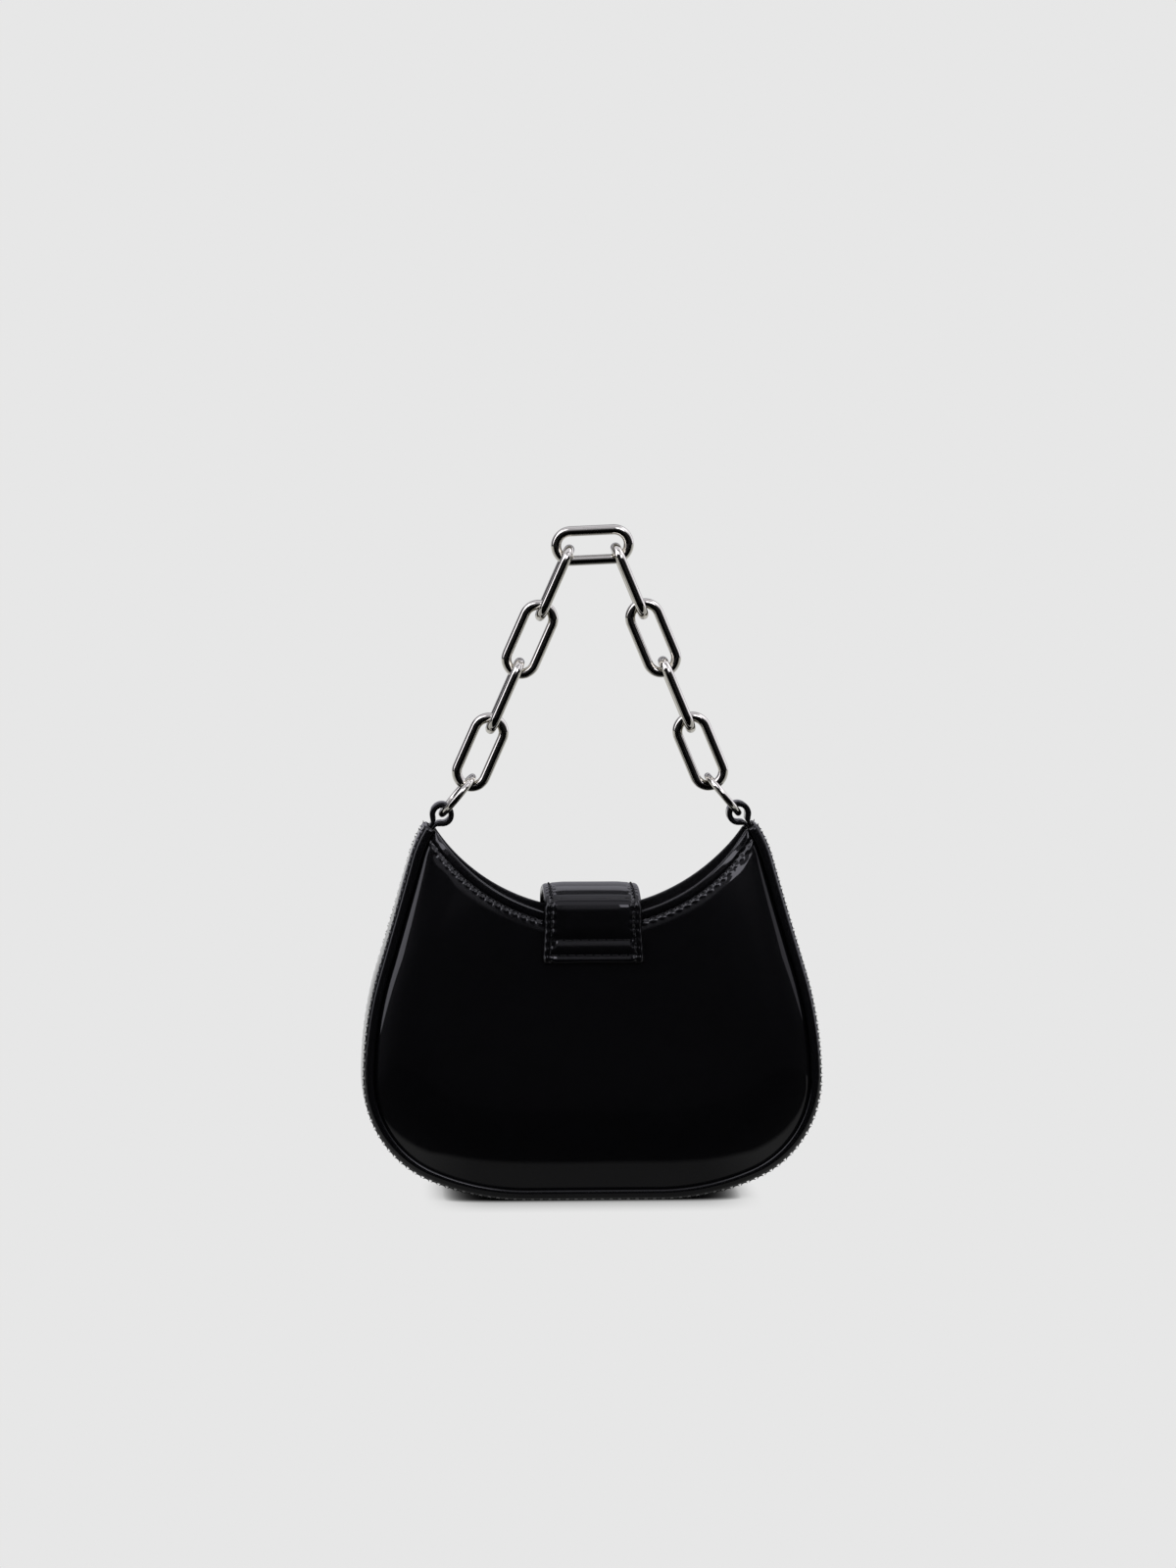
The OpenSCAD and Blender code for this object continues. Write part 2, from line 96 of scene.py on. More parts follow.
def tint(name, description, code):
    return bpy.props.FloatVectorProperty(
        name=name, description=description, default=linear(code), subtype="COLOR", min=0, max=1
    )


class MiniBagBody(bpy.types.PropertyGroup):
    """Sizes of the leather body, as in the part's source"""

    width: length("Width", "Greatest width of the body", 201)
    height: length("Height", "Height of the gusset's upper ends", 162.5)
    base_depth: length("Base depth", "Depth of the body along its base", 62)
    top_depth: length("Top depth", "Depth of the gusset at its upper ends", 25)
    corner: length("Corner radius", "Radius of the lower corners", 48)
    heel: length("Heel radius", "Radius of the shallow arc between base and corner", 110)
    heel_turn: angle("Heel turn", "How far that arc turns", 23)
    shoulder: length("Shoulder radius", "Radius where each side turns inwards", 160)
    lean: angle("Side lean", "Lean of the sides", 16.5)
    turn: length("Upper turn", "Radius of the turn at the gusset's upper ends", 50)
    turn_lean: angle("End lean", "Lean of the gusset's upper ends", 35)
    bulge: length("Side bulge", "How far the gusset's middle stands out", 0.8)
    dome: length("Dome", "How far the panels dome out", 7.5)
    roll: length("Border roll", "Width over which a panel's border rolls out", 45)
    mouth: length("Mouth height", "Lowest point of the rim", 122.5)
    gusset: length("Gusset leather", "Thickness of the gusset", 1.8)
    panel: length("Panel leather", "Thickness of the panels", 1.8)
    lap: length("Lap", "Width of the gusset's lap over each panel", 4.6)
    fold: length("Fold radius", "Radius of the gusset's fold", 3)
    facing: length("Facing", "Thickness of the facing", 1.6)
    facing_drop: length("Facing height", "Height of the facing below the rim", 26)
    layer: length("Layer gap", "Gap between two layers of a wall", 0.12)


class MiniBagTab(bpy.types.PropertyGroup):
    """Sizes of the closing tab"""

    width: length("Width", "Width where it crosses the mouth", 42)
    root_width: length("Sewn end width", "Width of the sewn end", 44)
    tip_width: length("Free end width", "Width of the free end", 38)
    thickness: length("Thickness", "Both leathers together", 3)
    top: length("Crown height", "Height of the crown", 135.5)
    root_low: length("Sewn end", "Lower edge of the sewn end", 103)
    hinge: length("Hinge height", "Where the tab bends when it opens", 118)
    tip_low: length("Free end", "Lower edge of the free end", 92)
    corner: length("Corner radius", "Radius of the free end's corners", 7)
    gap: length("Gap", "Clearance to the body", 0.3)


class MiniBagSewing(bpy.types.PropertyGroup):
    """Stitches"""

    pitch: length("Pitch", "Distance from stitch to stitch", 3.8)
    thread: length("Thread", "Thickness of the thread", 0.62)
    rim_inset: length("Rim inset", "Stitches below the rim", 4)
    tab_inset: length("Tab inset", "Stitches inside the tab's edges", 3)


class MiniBagChain(bpy.types.PropertyGroup):
    """Sizes of the chain handle"""

    link_length: length("Link length", "Outside length of a link", 36.1)
    link_width: length("Link width", "Outside width of a link", 17.2)
    link_wire: length("Link wire", "Wire diameter of the links", 4.4)
    ring_radius: length("Ring radius", "Radius to the middle of the ring's wire", 10.45)
    ring_wire: length("Ring wire", "Wire diameter of the rings", 3)
    ring_lean: angle("Ring lean", "Lean of the rings off level", 50)


class MiniBagLoops(bpy.types.PropertyGroup):
    """Sizes of the leather loops"""

    width: length("Width", "Width of the strap", 10.5)
    strap: length("Strap", "Thickness of the strap in its tail", 1.4)
    eye_strap: length("Eye strap", "Thickness of the strap round its eye", 2.4)
    hole: length("Hole", "Radius of the eye's hole", 2.9)
    bore: length("Bore", "Radius that the eye keeps free in the part's source", 3.5)
    neck: length("Neck", "From the gusset's end to the strap round the eye", 2.4)


class MiniBagFinish(bpy.types.PropertyGroup):
    """Colours of the materials"""

    patent: tint("Patent leather", "Black dyed leather under its clear coat", "#030304")
    edge: tint("Edge paint", "Painted cut edges", "#0B0B0C")
    facing: tint("Facing leather", "Matte grained leather inside the mouth", "#151517")
    cloth: tint("Lining cloth", "Plain woven lining", "#2B2B30")
    board: tint("Fibreboard", "Stiffeners and base board", "#6D5F4D")
    nickel: tint("Nickel", "Polished nickel plate", "#DAD7CE")
    steel: tint("Steel", "Closure discs", "#8E9196")
    thread: tint("Thread", "Waxed polyester thread", "#070708")


class MiniBagStage(bpy.types.PropertyGroup):
    """Studio and camera"""

    backdrop: tint("Backdrop", "Pale floor and background", "#E7E7E7")
    azimuth: angle("Azimuth", "Camera to the right of straight behind", -3)
    elevation: angle("Elevation", "Camera above level", 4.4)
    distance: length("Distance", "Camera to the middle of the bag", 2400)
    frame_height: length("Frame height", "Height that the picture covers at the bag", 685.3)
    aim_x: length("Aim X", "Place across that the camera looks at", -0.95, least=-1)
    aim_z: length("Aim Z", "Height the camera looks at", 179)


# Form of the body


class BodyForm:
    """Points of the leather body. way runs from -1 to 1 along the outline, 0 in the middle of the base."""

    def __init__(self, s, rim_row):
        self.s = s
        self.rim_row = rim_row
        out = (s.heel - s.corner) * math.sin(s.heel_turn)
        self.base_half = s.width / 2 - s.corner - out
        self.corner_z = s.heel - (s.heel - s.corner) * math.cos(s.heel_turn)
        self.shoulder_x = s.width / 2 - s.shoulder
        lean_x = self.shoulder_x + s.shoulder * math.cos(s.lean)
        lean_z = self.corner_z + s.shoulder * math.sin(s.lean)
        turn_z = s.height - s.turn * (math.sin(s.turn_lean) - math.sin(s.lean))
        turn_x = lean_x - (turn_z - lean_z) * math.tan(s.lean)
        self.lean_start = (lean_x, lean_z)
        self.turn_centre = (turn_x - s.turn * math.cos(s.lean), turn_z - s.turn * math.sin(s.lean))
        self.runs = [
            self.base_half,
            s.heel * s.heel_turn,
            s.corner * (math.pi / 2 - s.heel_turn),
            s.shoulder * s.lean,
            math.hypot(turn_x - lean_x, turn_z - lean_z),
            s.turn * (s.turn_lean - s.lean),
        ]
        self.half_length = sum(self.runs)
        self.lap_run = s.lap - s.fold + s.fold * math.pi / 2
        # the rim's ends lie this far inside the lap's edge at the gusset's upper ends
        past_lap = 1.5 * MM
        end =self.inside(self.edge(1), s.lap + past_lap)
        rise = end[1] - s.mouth
        self.mouth_r = (end[0] ** 2 + rise**2) / (2 * rise)
        self.mouth_half = math.asin(end[0] / self.mouth_r)
        self.mouth_cz = s.mouth + self.mouth_r
        self.full_span = max(self.span(w / 60) for w in range(61))

    def edge(self, way):
        """(x, z, x and z of the outward normal) on the outline: base, heel, corner, shoulder, side, end."""
        s, sign, run = self.s, (1 if way >= 0 else -1), abs(way) * self.half_length
        if run <= self.runs[0]:
            return sign * run, 0.0, 0.0, -1.0
        run -= self.runs[0]
        for stretch, x, z, r, a in (
            (self.runs[1], self.base_half, s.heel, s.heel, -math.pi / 2),
            (self.runs[2], s.width / 2 - s.corner, self.corner_z, s.corner, s.heel_turn - math.pi / 2),
            (self.runs[3], self.shoulder_x, self.corner_z, s.shoulder, 0),
        ):
            if run <= stretch:
                a += run / r
                return sign * (x + r * math.cos(a)), z + r * math.sin(a), sign * math.cos(a), math.sin(a)
            run -= stretch
        if run <= self.runs[4]:
            x = self.lean_start[0] - run * math.sin(s.lean)
            z = self.lean_start[1] + run * math.cos(s.lean)
            return sign * x, z, sign * math.cos(s.lean), math.sin(s.lean)
        a = s.lean + min(run - self.runs[4], self.runs[5]) / s.turn
        x = self.turn_centre[0] + s.turn * math.cos(a)
        z = self.turn_centre[1] + s.turn * math.sin(a)
        return sign * x, z, sign * math.cos(a), math.sin(a)

    def inside(self, e, n):
        """(x, z) at a distance n inside a point of the outline."""
        return e[0] - n * e[2], e[1] - n * e[3]

    def half_depth(self, z):
        s = self.s
        return (s.base_depth + (s.top_depth - s.base_depth) * z / s.height) / 2

    def bulge(self, z):
        s = self.s
        return s.bulge * clamp(z / self.corner_z) * (1 - clamp(z / s.height) ** 6)

    def panel_half(self, z):
        return self.half_depth(z) - self.s.gusset - self.s.layer

    def rim(self, way):
        a = self.mouth_half * way
        return self.mouth_r * math.sin(a), self.mouth_cz - self.mouth_r * math.cos(a)

    def lap_edge(self, way):
        e = self.edge(way)
        return self.inside(e, self.bulge(e[1]) + self.s.lap)

    def span(self, way):
        a, b = self.lap_edge(way), self.rim(way)
        return math.hypot(b[0] - a[0], b[1] - a[1])

    def facing_share(self, span):
        """Share of the way from the lap to the rim at which the facing starts."""
        return 1 - min(self.s.facing_drop, 0.9 * span) / span

    def fullness(self, span):
        """Share of the full dome that a panel of this span has: none at the body's upper ends."""
        return 1 - (1 - min(1, span / self.full_span)) ** 2

    def rise(self, reach, span):
        """How far the panel stands out at a distance from its lap edge."""
        return self.s.dome * self.fullness(span) * (1 - (1 - clamp(reach / self.s.roll)) ** 2.5)

    def puff(self, reach, span):
        """Extra roll of the padded border where a short span would leave the panel flat."""
        slope, width = 0.49 * (1 - self.fullness(span)), 8 * MM
        return slope * width * math.tanh(reach / width) * (1 - (reach / span) ** 2)

    def press(self, below, span):
        """How deep the rim is pressed at a distance below its edge: flat down to its stitches, with a groove
        under them and a slope past them. It fades out where the span gets short."""
        deep, slope, groove_deep, groove_wide = 0.8 * MM, 4.5 * MM, 0.25 * MM, 0.8 * MM
        past = below - self.rim_row
        flat = (1 - clamp(past / slope)) ** 1.3
        return min(1, span / (26 * MM)) * (deep * flat + groove_deep * dip(past, groove_wide))

    def on_panel(self, side, way, share, depth, dressed=True):
        """Point of a panel at a share of the way from the lap to the rim. Dressed adds the pressed rim and
        the slight waves of real leather, which fade out at both seams."""
        a, b = self.lap_edge(way), self.rim(way)
        x, z = a[0] + (b[0] - a[0]) * share, a[1] + (b[1] - a[1]) * share
        span = self.span(way)
        reach, below = share * span, (1 - share) * span
        out = self.panel_half(z) + self.rise(reach, span) - depth
        if dressed:
            waves = ((61, 43, side), (97, -71, 2.1), (29, 133, 0.7))
            calm = clamp(reach / (12 * MM)) * clamp(below / (14 * MM))
            out += calm * 0.04 * MM * sum(math.sin(x * i + z * j + k) for i, j, k in waves)
            out += self.puff(reach, span) - self.press(below, span)
        return Vector((x, side * out, z))

    def on_border(self, side, way, n, depth):
        """Point of a panel's flat border, at a distance n inside the gusset's outer face."""
        e = self.edge(way)
        x, z = self.inside(e, self.bulge(e[1]) + n)
        return Vector((x, side * (self.panel_half(z) - depth), z))

    def on_gusset(self, way, across, inner, stitches):
        """Point of the gusset. across runs from -1, the back lap's edge, to 1; half of that is the lap and
        its fold. inner is 0 outside and 1 inside. Stitches notch the outside of the fold."""
        s = self.s
        e = self.edge(way)
        b = self.bulge(e[1])
        t = s.gusset * inner
        half = self.half_depth(e[1] - (b + s.fold) * e[3])
        flat = half - s.fold
        lap = s.lap - s.fold
        run = (1 - abs(across)) * 2 * self.lap_run
        seam_deep, hole_deep, seam_wide, wave = 0.04 * MM, 0.16 * MM, 1.3 * MM, 0.16 * MM
        sink = 0.0
        if not inner:
            hole = 0.5 + 0.5 * math.cos(math.pi * (way + 1) * stitches)
            sink = dip(run - LAP_ROW, seam_wide) * (seam_deep + hole_deep * hole)
        if run < lap:
            n = b + s.lap - run
            y = self.half_depth(e[1] - n * e[3]) - t - sink
        elif abs(across) >= 0.5:
            a = (run - lap) / s.fold
            r = s.fold - t - sink
            n = b + s.fold - r * math.sin(a)
            y = flat + r * math.cos(a)
        else:
            k = abs(across) * 2
            n = b * k * k + t + sink
            y = k * flat
            if not inner:
                n += wave * math.sin(way * 31 + 1.3) * math.sin(math.pi * k)
        x, z = self.inside(e, n)
        return Vector((x, (1 if across >= 0 else -1) * y, z))


class EyeForm:
    """Points of the loops, whose straps leave the gusset's ends on one circle inside the gusset."""

    def __init__(self, body, s):
        self.centre = body.turn_centre
        self.r = body.s.turn - body.s.gusset - body.s.layer - s.strap
        self.turn = body.s.turn_lean + (s.bore + s.strap + s.neck) / self.r

    def at(self, below, out):
        """(x, z) on the right side, at a distance below the eye's middle and a distance outwards."""
        a = self.turn - below / self.r
        return self.centre[0] + (self.r + out) * math.cos(a), self.centre[1] + (self.r + out) * math.sin(a)


class TabForm:
    """Points of the closing tab: run is the distance along its inner face from the sewn end, off the height
    above that face, across the distance from its middle line."""

    def __init__(self, body, s):
        self.s = s
        self.lean = math.atan((body.s.base_depth - body.s.top_depth) / 2 / body.s.height)
        # the legs reach this far above the rim, and from this angle the arch has its crown's radius
        room = 3.3 * MM
        crown_from = math.radians(70)
        self.bend_z = body.s.mouth + room
        rim_y = body.panel_half(body.s.mouth) + body.s.dome
        self.bend_y = rim_y + s.gap / math.cos(self.lean) - room * math.tan(self.lean)
        rise = s.top - s.thickness - self.bend_z
        near_y = math.cos(self.lean) - math.cos(crown_from)
        near_z = math.sin(crown_from) - math.sin(self.lean)
        crown_y, crown_z = math.cos(crown_from), 1 - math.sin(crown_from)
        self.bend_r = (rise * crown_y - self.bend_y * crown_z) / (near_z * crown_y - near_y * crown_z)
        self.crown_r = (self.bend_y - self.bend_r * near_y) / crown_y
        self.crown_from = crown_from
        self.leg_back = (self.bend_z - s.root_low) / math.cos(self.lean)
        self.leg_front = (self.bend_z - s.tip_low) / math.cos(self.lean)
        self.bend_len = self.bend_r * (crown_from - self.lean)
        self.crown_len = self.crown_r * (math.pi / 2 - crown_from)
        self.arch_half = self.bend_len + self.crown_len
        self.total = self.leg_back + 2 * self.arch_half + self.leg_front

    def profile(self, run):
        """(y, z, angle of the outward normal from -Y towards +Z) on the inner face."""
        s = self.s
        mid = self.leg_back + self.arch_half
        side = -1 if run <= mid else 1
        left = run if run <= mid else 2 * mid - run
        if left < self.leg_back:
            z = self.bend_z - (self.leg_back - left) * math.cos(self.lean)
            y, a = self.bend_y + (self.bend_z - z) * math.tan(self.lean), self.lean
        elif left < self.leg_back + self.bend_len:
            a = self.lean + (left - self.leg_back) / self.bend_r
            y = self.bend_y - self.bend_r * math.cos(self.lean) + self.bend_r * math.cos(a)
            z = self.bend_z - self.bend_r * math.sin(self.lean) + self.bend_r * math.sin(a)
        else:
            a = self.crown_from + (left - self.leg_back - self.bend_len) / self.crown_r
            y = self.crown_r * math.cos(a)
            z = s.top - s.thickness - self.crown_r + self.crown_r * math.sin(a)
        return side * y, z, a, side

    def half_width(self, run):
        s = self.s
        hinge = (s.hinge - s.root_low) / math.cos(self.lean)
        if run < hinge:
            w = s.root_width + (s.width - s.root_width) * run / hinge
        else:
            front = clamp((run - self.total + self.leg_front) / self.leg_front)
            w = s.width + (s.tip_width - s.width) * front
        half = w / 2
        for left, r in ((run, 1.6 * MM), (self.total - run, s.corner)):
            if left < r:
                half -= r - math.sqrt(max(0, r * r - (r - left) ** 2))
        return half

    def at(self, run, across, off):
        """Point of the tab at a height above its inner face."""
        y, z, a, side = self.profile(run)
        return Vector((across, y + side * off * math.cos(a), z + off * math.sin(a)))

    def height(self, run, across, inset):
        """Height of the outer face above the inner one: padded in the middle, grooved along the stitches and
        rounded off towards the edges."""
        d = self.half_width(run) - abs(across)
        to_tip = self.total - run
        first, last = ROOT_ROWS
        padding, ridge, groove_deep, edge_deep = 0.5 * MM, 0.18 * MM, 0.42 * MM, 0.85 * MM
        side_wide, root_wide = 0.8 * MM, 1.4 * MM
        pad = padding * clamp((d - inset) / (6 * MM)) * clamp((to_tip - inset) / (8 * MM))
        pad *= clamp((run - last) / (5 * MM))
        groove = max(dip(d - inset, side_wide), dip(to_tip - inset, side_wide))
        if d > inset:
            groove = max(groove, dip(run - first, root_wide), dip(run - last, root_wide))
            if run < last:
                pad = ridge * math.sin(math.pi * clamp((run - first) / (last - first)))
        edge = clamp(1 - min(d, to_tip, 2 * run) / inset)
        return self.s.thickness + pad - groove_deep * groove - edge_deep * edge**2


# Making meshes


def deselect():
    if bpy.context.mode != "OBJECT":
        bpy.ops.object.mode_set(mode="OBJECT")
    bpy.ops.object.select_all(action="DESELECT")


def arc_lengths(grid, axis):
    """Distance of each grid point from the grid's first row along an axis."""
    steps = np.linalg.norm(np.diff(grid, axis=axis), axis=-1)
    zero = np.zeros_like(np.take(steps, [0], axis=axis))
    return np.concatenate([zero, np.cumsum(steps, axis=axis)], axis=axis)


def shell(name, us, vs, place, materials, rounded=(0, 0, 0, 0), uv=None):
    """A closed piece of sheet leather or cloth. A flat grid is extruded to a slab, and each of its points
    is then placed by place(u, v, inner). A second material is for the cut edges. rounded gives how far the
    edges at the start and end of u and the start and end of v are rounded over."""
    deselect()
    bpy.ops.mesh.primitive_grid_add(x_subdivisions=len(us) - 1, y_subdivisions=len(vs) - 1, size=1)
    piece = bpy.context.object
    piece.name = piece.data.name = name
    bpy.ops.object.mode_set(mode="EDIT")
    bpy.ops.mesh.select_all(action="SELECT")
    bpy.ops.mesh.extrude_region_move(TRANSFORM_OT_translate={"value": (0, 0, 1)})
    bpy.ops.object.mode_set(mode="OBJECT")
    mesh = piece.data
    flat = np.empty(len(mesh.vertices) * 3)
    mesh.vertices.foreach_get("co", flat)
    flat = flat.reshape(-1, 3)
    iu = np.rint((flat[:, 0] + 0.5) * (len(us) - 1)).astype(int)
    iv = np.rint((flat[:, 1] + 0.5) * (len(vs) - 1)).astype(int)
    inner = flat[:, 2] < 0.5
    outside = np.array([[place(u, v, 0) for v in vs] for u in us])
    inside = np.array([[place(u, v, 1) for v in vs] for u in us])
    keep = np.ones(outside.shape[:2])
    middle = (outside + inside) / 2
    # what stays of the thickness at a rounded edge
    blunt = 0.28
    for axis, radii in ((0, rounded[:2]), (1, rounded[2:])):
        run = arc_lengths(middle, axis)
        whole = np.take(run, [-1], axis=axis)
        for radius, d in ((radii[0], run), (radii[1], whole - run)):
            if radius:
                near = np.clip(d / radius, 0, 1)
                keep = np.minimum(keep, blunt + (1 - blunt) * np.sqrt(1 - (1 - near) ** 2))
    outside = middle + (outside - middle) * keep[..., None]
    inside = middle + (inside - middle) * keep[..., None]
    points = np.where(inner[:, None], inside[iu, iv], outside[iu, iv])
    mesh.vertices.foreach_set("co", points.ravel())
    layer = mesh.uv_layers.active or mesh.uv_layers.new(name="UVMap")
    loops = np.empty(len(mesh.loops), int)
    mesh.loops.foreach_get("vertex_index", loops)
    table = np.array([[uv(u, v) if uv else (u, v) for v in vs] for u in us])
    layer.data.foreach_set("uv", table[iu[loops], iv[loops]].ravel())
    for m in materials:
        mesh.materials.append(m)
    if len(materials) > 1:
        sides = inner[loops]
        for p in mesh.polygons:
            on = sides[p.loop_start : p.loop_start + p.loop_total]
            if on.any() and not on.all():
                p.material_index = 1
    bpy.ops.object.mode_set(mode="EDIT")
    bpy.ops.mesh.select_all(action="SELECT")
    bpy.ops.mesh.normals_make_consistent(inside=False)
    bpy.ops.object.mode_set(mode="OBJECT")
    bpy.ops.object.shade_smooth_by_angle(angle=math.radians(50))
    return piece


def copies(name, model, matrices, materials):
    """One piece made of copies of a modelled mesh."""
    n = len(model.vertices)
    co = np.empty(n * 3)
    model.vertices.foreach_get("co", co)
    co = np.c_[co.reshape(-1, 3), np.ones(n)]
    faces = [tuple(p.vertices) for p in model.polygons]
    points, polygons = [], []
    for k, m in enumerate(matrices):
        points.append((co @ np.array(m).T)[:, :3])
        polygons += [tuple(i + k * n for i in f) for f in faces]
    mesh = bpy.data.meshes.new(name)
    mesh.from_pydata(np.concatenate(points).tolist(), [], polygons)
    for m in materials:
        mesh.materials.append(m)
    mesh.shade_smooth()
    piece = bpy.data.objects.new(name, mesh)
    bpy.context.scene.collection.objects.link(piece)
    return piece


def stitch_model(s):
    """One stitch: a short length of thread along X whose ends dive into their holes."""
    deselect()
    bpy.ops.mesh.primitive_uv_sphere_add(
        segments=8, ring_count=8, radius=s.thread / 2, rotation=(0, math.pi / 2, 0)
    )
    piece = bpy.context.object
    bpy.ops.object.transform_apply(rotation=True)
    half, lift, dive = 0.36 * s.pitch, 0.16 * MM, 0.52 * MM
    for v in piece.data.vertices:
        x = v.co.x
        v.co.x = x * 0.5 + half * max(-1, min(1, x / (s.thread * 0.32)))
        v.co.z += lift - dive * (abs(v.co.x) / half) ** 3
    return taken(piece)


def taken(piece):
    """The piece's mesh, without the piece."""
    mesh = piece.data.copy()
    bpy.data.objects.remove(piece)
    return mesh


def row_matrices(place, count, skip=lambda p: False):
    """Places of a row's stitches. place(t, beside) is the surface at share t of the row, or beside it."""
    found = []
    h = 0.2 * MM
    for k in range(count):
        t = (k + 0.5) / count
        p = place(t, 0)
        if skip(p):
            continue
        along = (place(t + 0.25 / count, 0) - place(t - 0.25 / count, 0)).normalized()
        beside = place(t, h) - place(t, -h)
        up = along.cross(beside).normalized()
        beside = up.cross(along).normalized()
        m = Matrix((along, beside, up)).transposed().to_4x4()
        m.translation = p
        found.append(m)
    return found


# Materials


def node(tree, kind, inputs=None, output=0, **settings):
    """Adds a node with its settings, sets or links its inputs, and gives one of its outputs."""
    n = tree.nodes.new("ShaderNode" + kind)
    for key, value in settings.items():
        setattr(n, key, value)
    for key, value in (inputs or {}).items():
        if isinstance(value, bpy.types.NodeSocket):
            tree.links.new(value, n.inputs[key])
        else:
            n.inputs[key].default_value = value
    return n.outputs[output] if n.outputs and output is not None else n.outputs


def blank(name):
    """A material with an empty tree."""
    m = bpy.data.materials.new(name)
    m.use_nodes = True
    m.node_tree.nodes.clear()
    return m, m.node_tree


def shade(colour, factor):
    """A lighter or darker shade of a colour, with its alpha."""
    return (*(c * factor for c in colour[:3]), 1)


def material(name, finish, *details):
    """The material of that name, made once. finish(tree, where, *details) adds its patterns. It gives its
    colour with a factor that runs between two shades of it, its bumps with their heights in millimetres,
    and the shader's other inputs."""
    if name in bpy.data.materials:
        return bpy.data.materials[name]
    m, tree = blank(name)
    mix, bumps, inputs = finish(tree, node(tree, "TexCoord", output="Object"), *details)
    colour, factor, first, second = mix
    shades = {"Factor": factor, "A": shade(colour, first), "B": shade(colour, second)}
    inputs["Base Color"] = node(tree, "Mix", shades, "Result", data_type="RGBA")
    below = {}
    for height, distance in bumps:
        normal = node(tree, "Bump", {"Height": height, "Distance": distance * MM, **below})
        below = {"Normal": normal}
    inputs["Normal"] = normal
    if "Coat Weight" in inputs:
        inputs["Coat Normal"] = normal
    node(tree, "OutputMaterial", {"Surface": node(tree, "BsdfPrincipled", inputs)})
    return m


def patent_leather(tree, where, f, sewing, sewn):
    """Patent leather: split leather dyed black under a thick poured polyurethane coat. The coat gives
    mirror reflections with a faint orange peel about 1.6 mm wide, and dust lies in it as slight flecks."""
    peel = node(tree, "TexNoise", {"Vector": where, "Scale": 1 / (1.6 * MM), "Detail": 1})
    wave = node(tree, "TexNoise", {"Vector": where, "Scale": 1 / (26 * MM), "Detail": 1})
    dust = node(tree, "TexNoise", {"Vector": where, "Scale": 1 / (9 * MM), "Detail": 4, "Roughness": 0.6})
    bumps = [(wave, 0.1), (peel, 0.0035)]
    if sewn:
        bumps.append((puckers(tree, where, sewing, sewn), 1))
    leather = {"Roughness": 0.4, "Specular IOR Level": 0.08, "IOR": 1.5}
    coat = {"Coat Weight": 1.0, "Coat Roughness": 0.02, "Coat IOR": 1.4}
    return (f.patent, dust, 0.6, 1.4), bumps, {**leather, **coat}


def puckers(tree, where, sewing, rows):
    """Height in millimetres of the leather beside its stitches. On the UV map, u runs along a seam in
    stitches and v is the distance from the edge in millimetres. Each row gives its way, which is along the
    edge, or across the piece at a distance along u. Then come its place, its width, the depth of its holes,
    and the height to which the leather puffs up between them, towards the edge and away from it."""
    uv = node(tree, "SeparateXYZ", {0: node(tree, "UVMap")}, None)
    x = node(tree, "SeparateXYZ", {0: where})
    total = 0.0
    for way, place, width, depth, near, far in rows:
        if way == "along":
            stitch, off = uv["X"], node(tree, "Math", {0: uv["Y"], 1: place}, operation="SUBTRACT")
        else:
            stitch = node(tree, "Math", {0: x, 1: 1 / sewing.pitch}, operation="MULTIPLY")
            off = node(tree, "Math", {0: uv["X"], 1: sewing.pitch / MM, 2: -place}, operation="MULTIPLY_ADD")
        turn = node(tree, "Math", {0: stitch, 1: 2 * math.pi}, operation="MULTIPLY")
        wave = node(tree, "Math", {0: turn}, operation="COSINE")
        hole = node(tree, "Math", {0: wave, 1: 0.5, 2: 0.5}, operation="MULTIPLY_ADD")
        pull = node(tree, "Math", {0: hole, 1: -0.7, 2: -0.3}, operation="MULTIPLY_ADD")
        puff = node(tree, "Math", {0: 1.0, 1: hole}, operation="SUBTRACT")
        beside, wide = width * 1.7, width * 1.1
        for centre, spread, height, share in (
            (0.0, width, depth, pull),
            (beside, wide, far, puff),
            (-beside, wide, near, puff),
        ):
            if height:
                d = node(tree, "Math", {0: off, 1: -centre}, operation="ADD")
                d = node(tree, "Math", {0: d, 1: 1 / spread}, operation="MULTIPLY")
                d = node(tree, "Math", {0: d, 1: d}, operation="MULTIPLY")
                d = node(tree, "Math", {0: d, 1: -1.0}, operation="MULTIPLY")
                fall = node(tree, "Math", {0: d}, operation="EXPONENT")
                fall = node(tree, "Math", {0: fall, 1: height}, operation="MULTIPLY")
                total = node(tree, "Math", {0: fall, 1: share, 2: total}, operation="MULTIPLY_ADD")
    return total


def edge_paint(tree, where, f):
    """Cut edges: sealed with two coats of flexible acrylic paint, half glossy, with lumps 2.5 mm wide."""
    lumps = node(tree, "TexNoise", {"Vector": where, "Scale": 1 / (2.5 * MM), "Detail": 2})
    return (f.edge, lumps, 0.6, 1.4), [(lumps, 0.05)], {"Roughness": 0.28, "Specular IOR Level": 0.5}


def facing_leather(tree, where, f):
    """Facing: embossed calf leather, matte, with pebbles about 0.9 mm wide and darker valleys."""
    pebbles = {"Vector": where, "Scale": 1 / (0.9 * MM), "Smoothness": 0.4}
    cells = node(tree, "TexVoronoi", pebbles, "Distance", feature="SMOOTH_F1")
    wear = node(tree, "TexNoise", {"Vector": where, "Scale": 1 / (14 * MM), "Detail": 3})
    rough = node(tree, "MapRange", {"Value": wear, "To Min": 0.46, "To Max": 0.62})
    return (f.facing, cells, 1.25, 0.4), [(cells, -0.12)], {"Roughness": rough, "Specular IOR Level": 0.35}


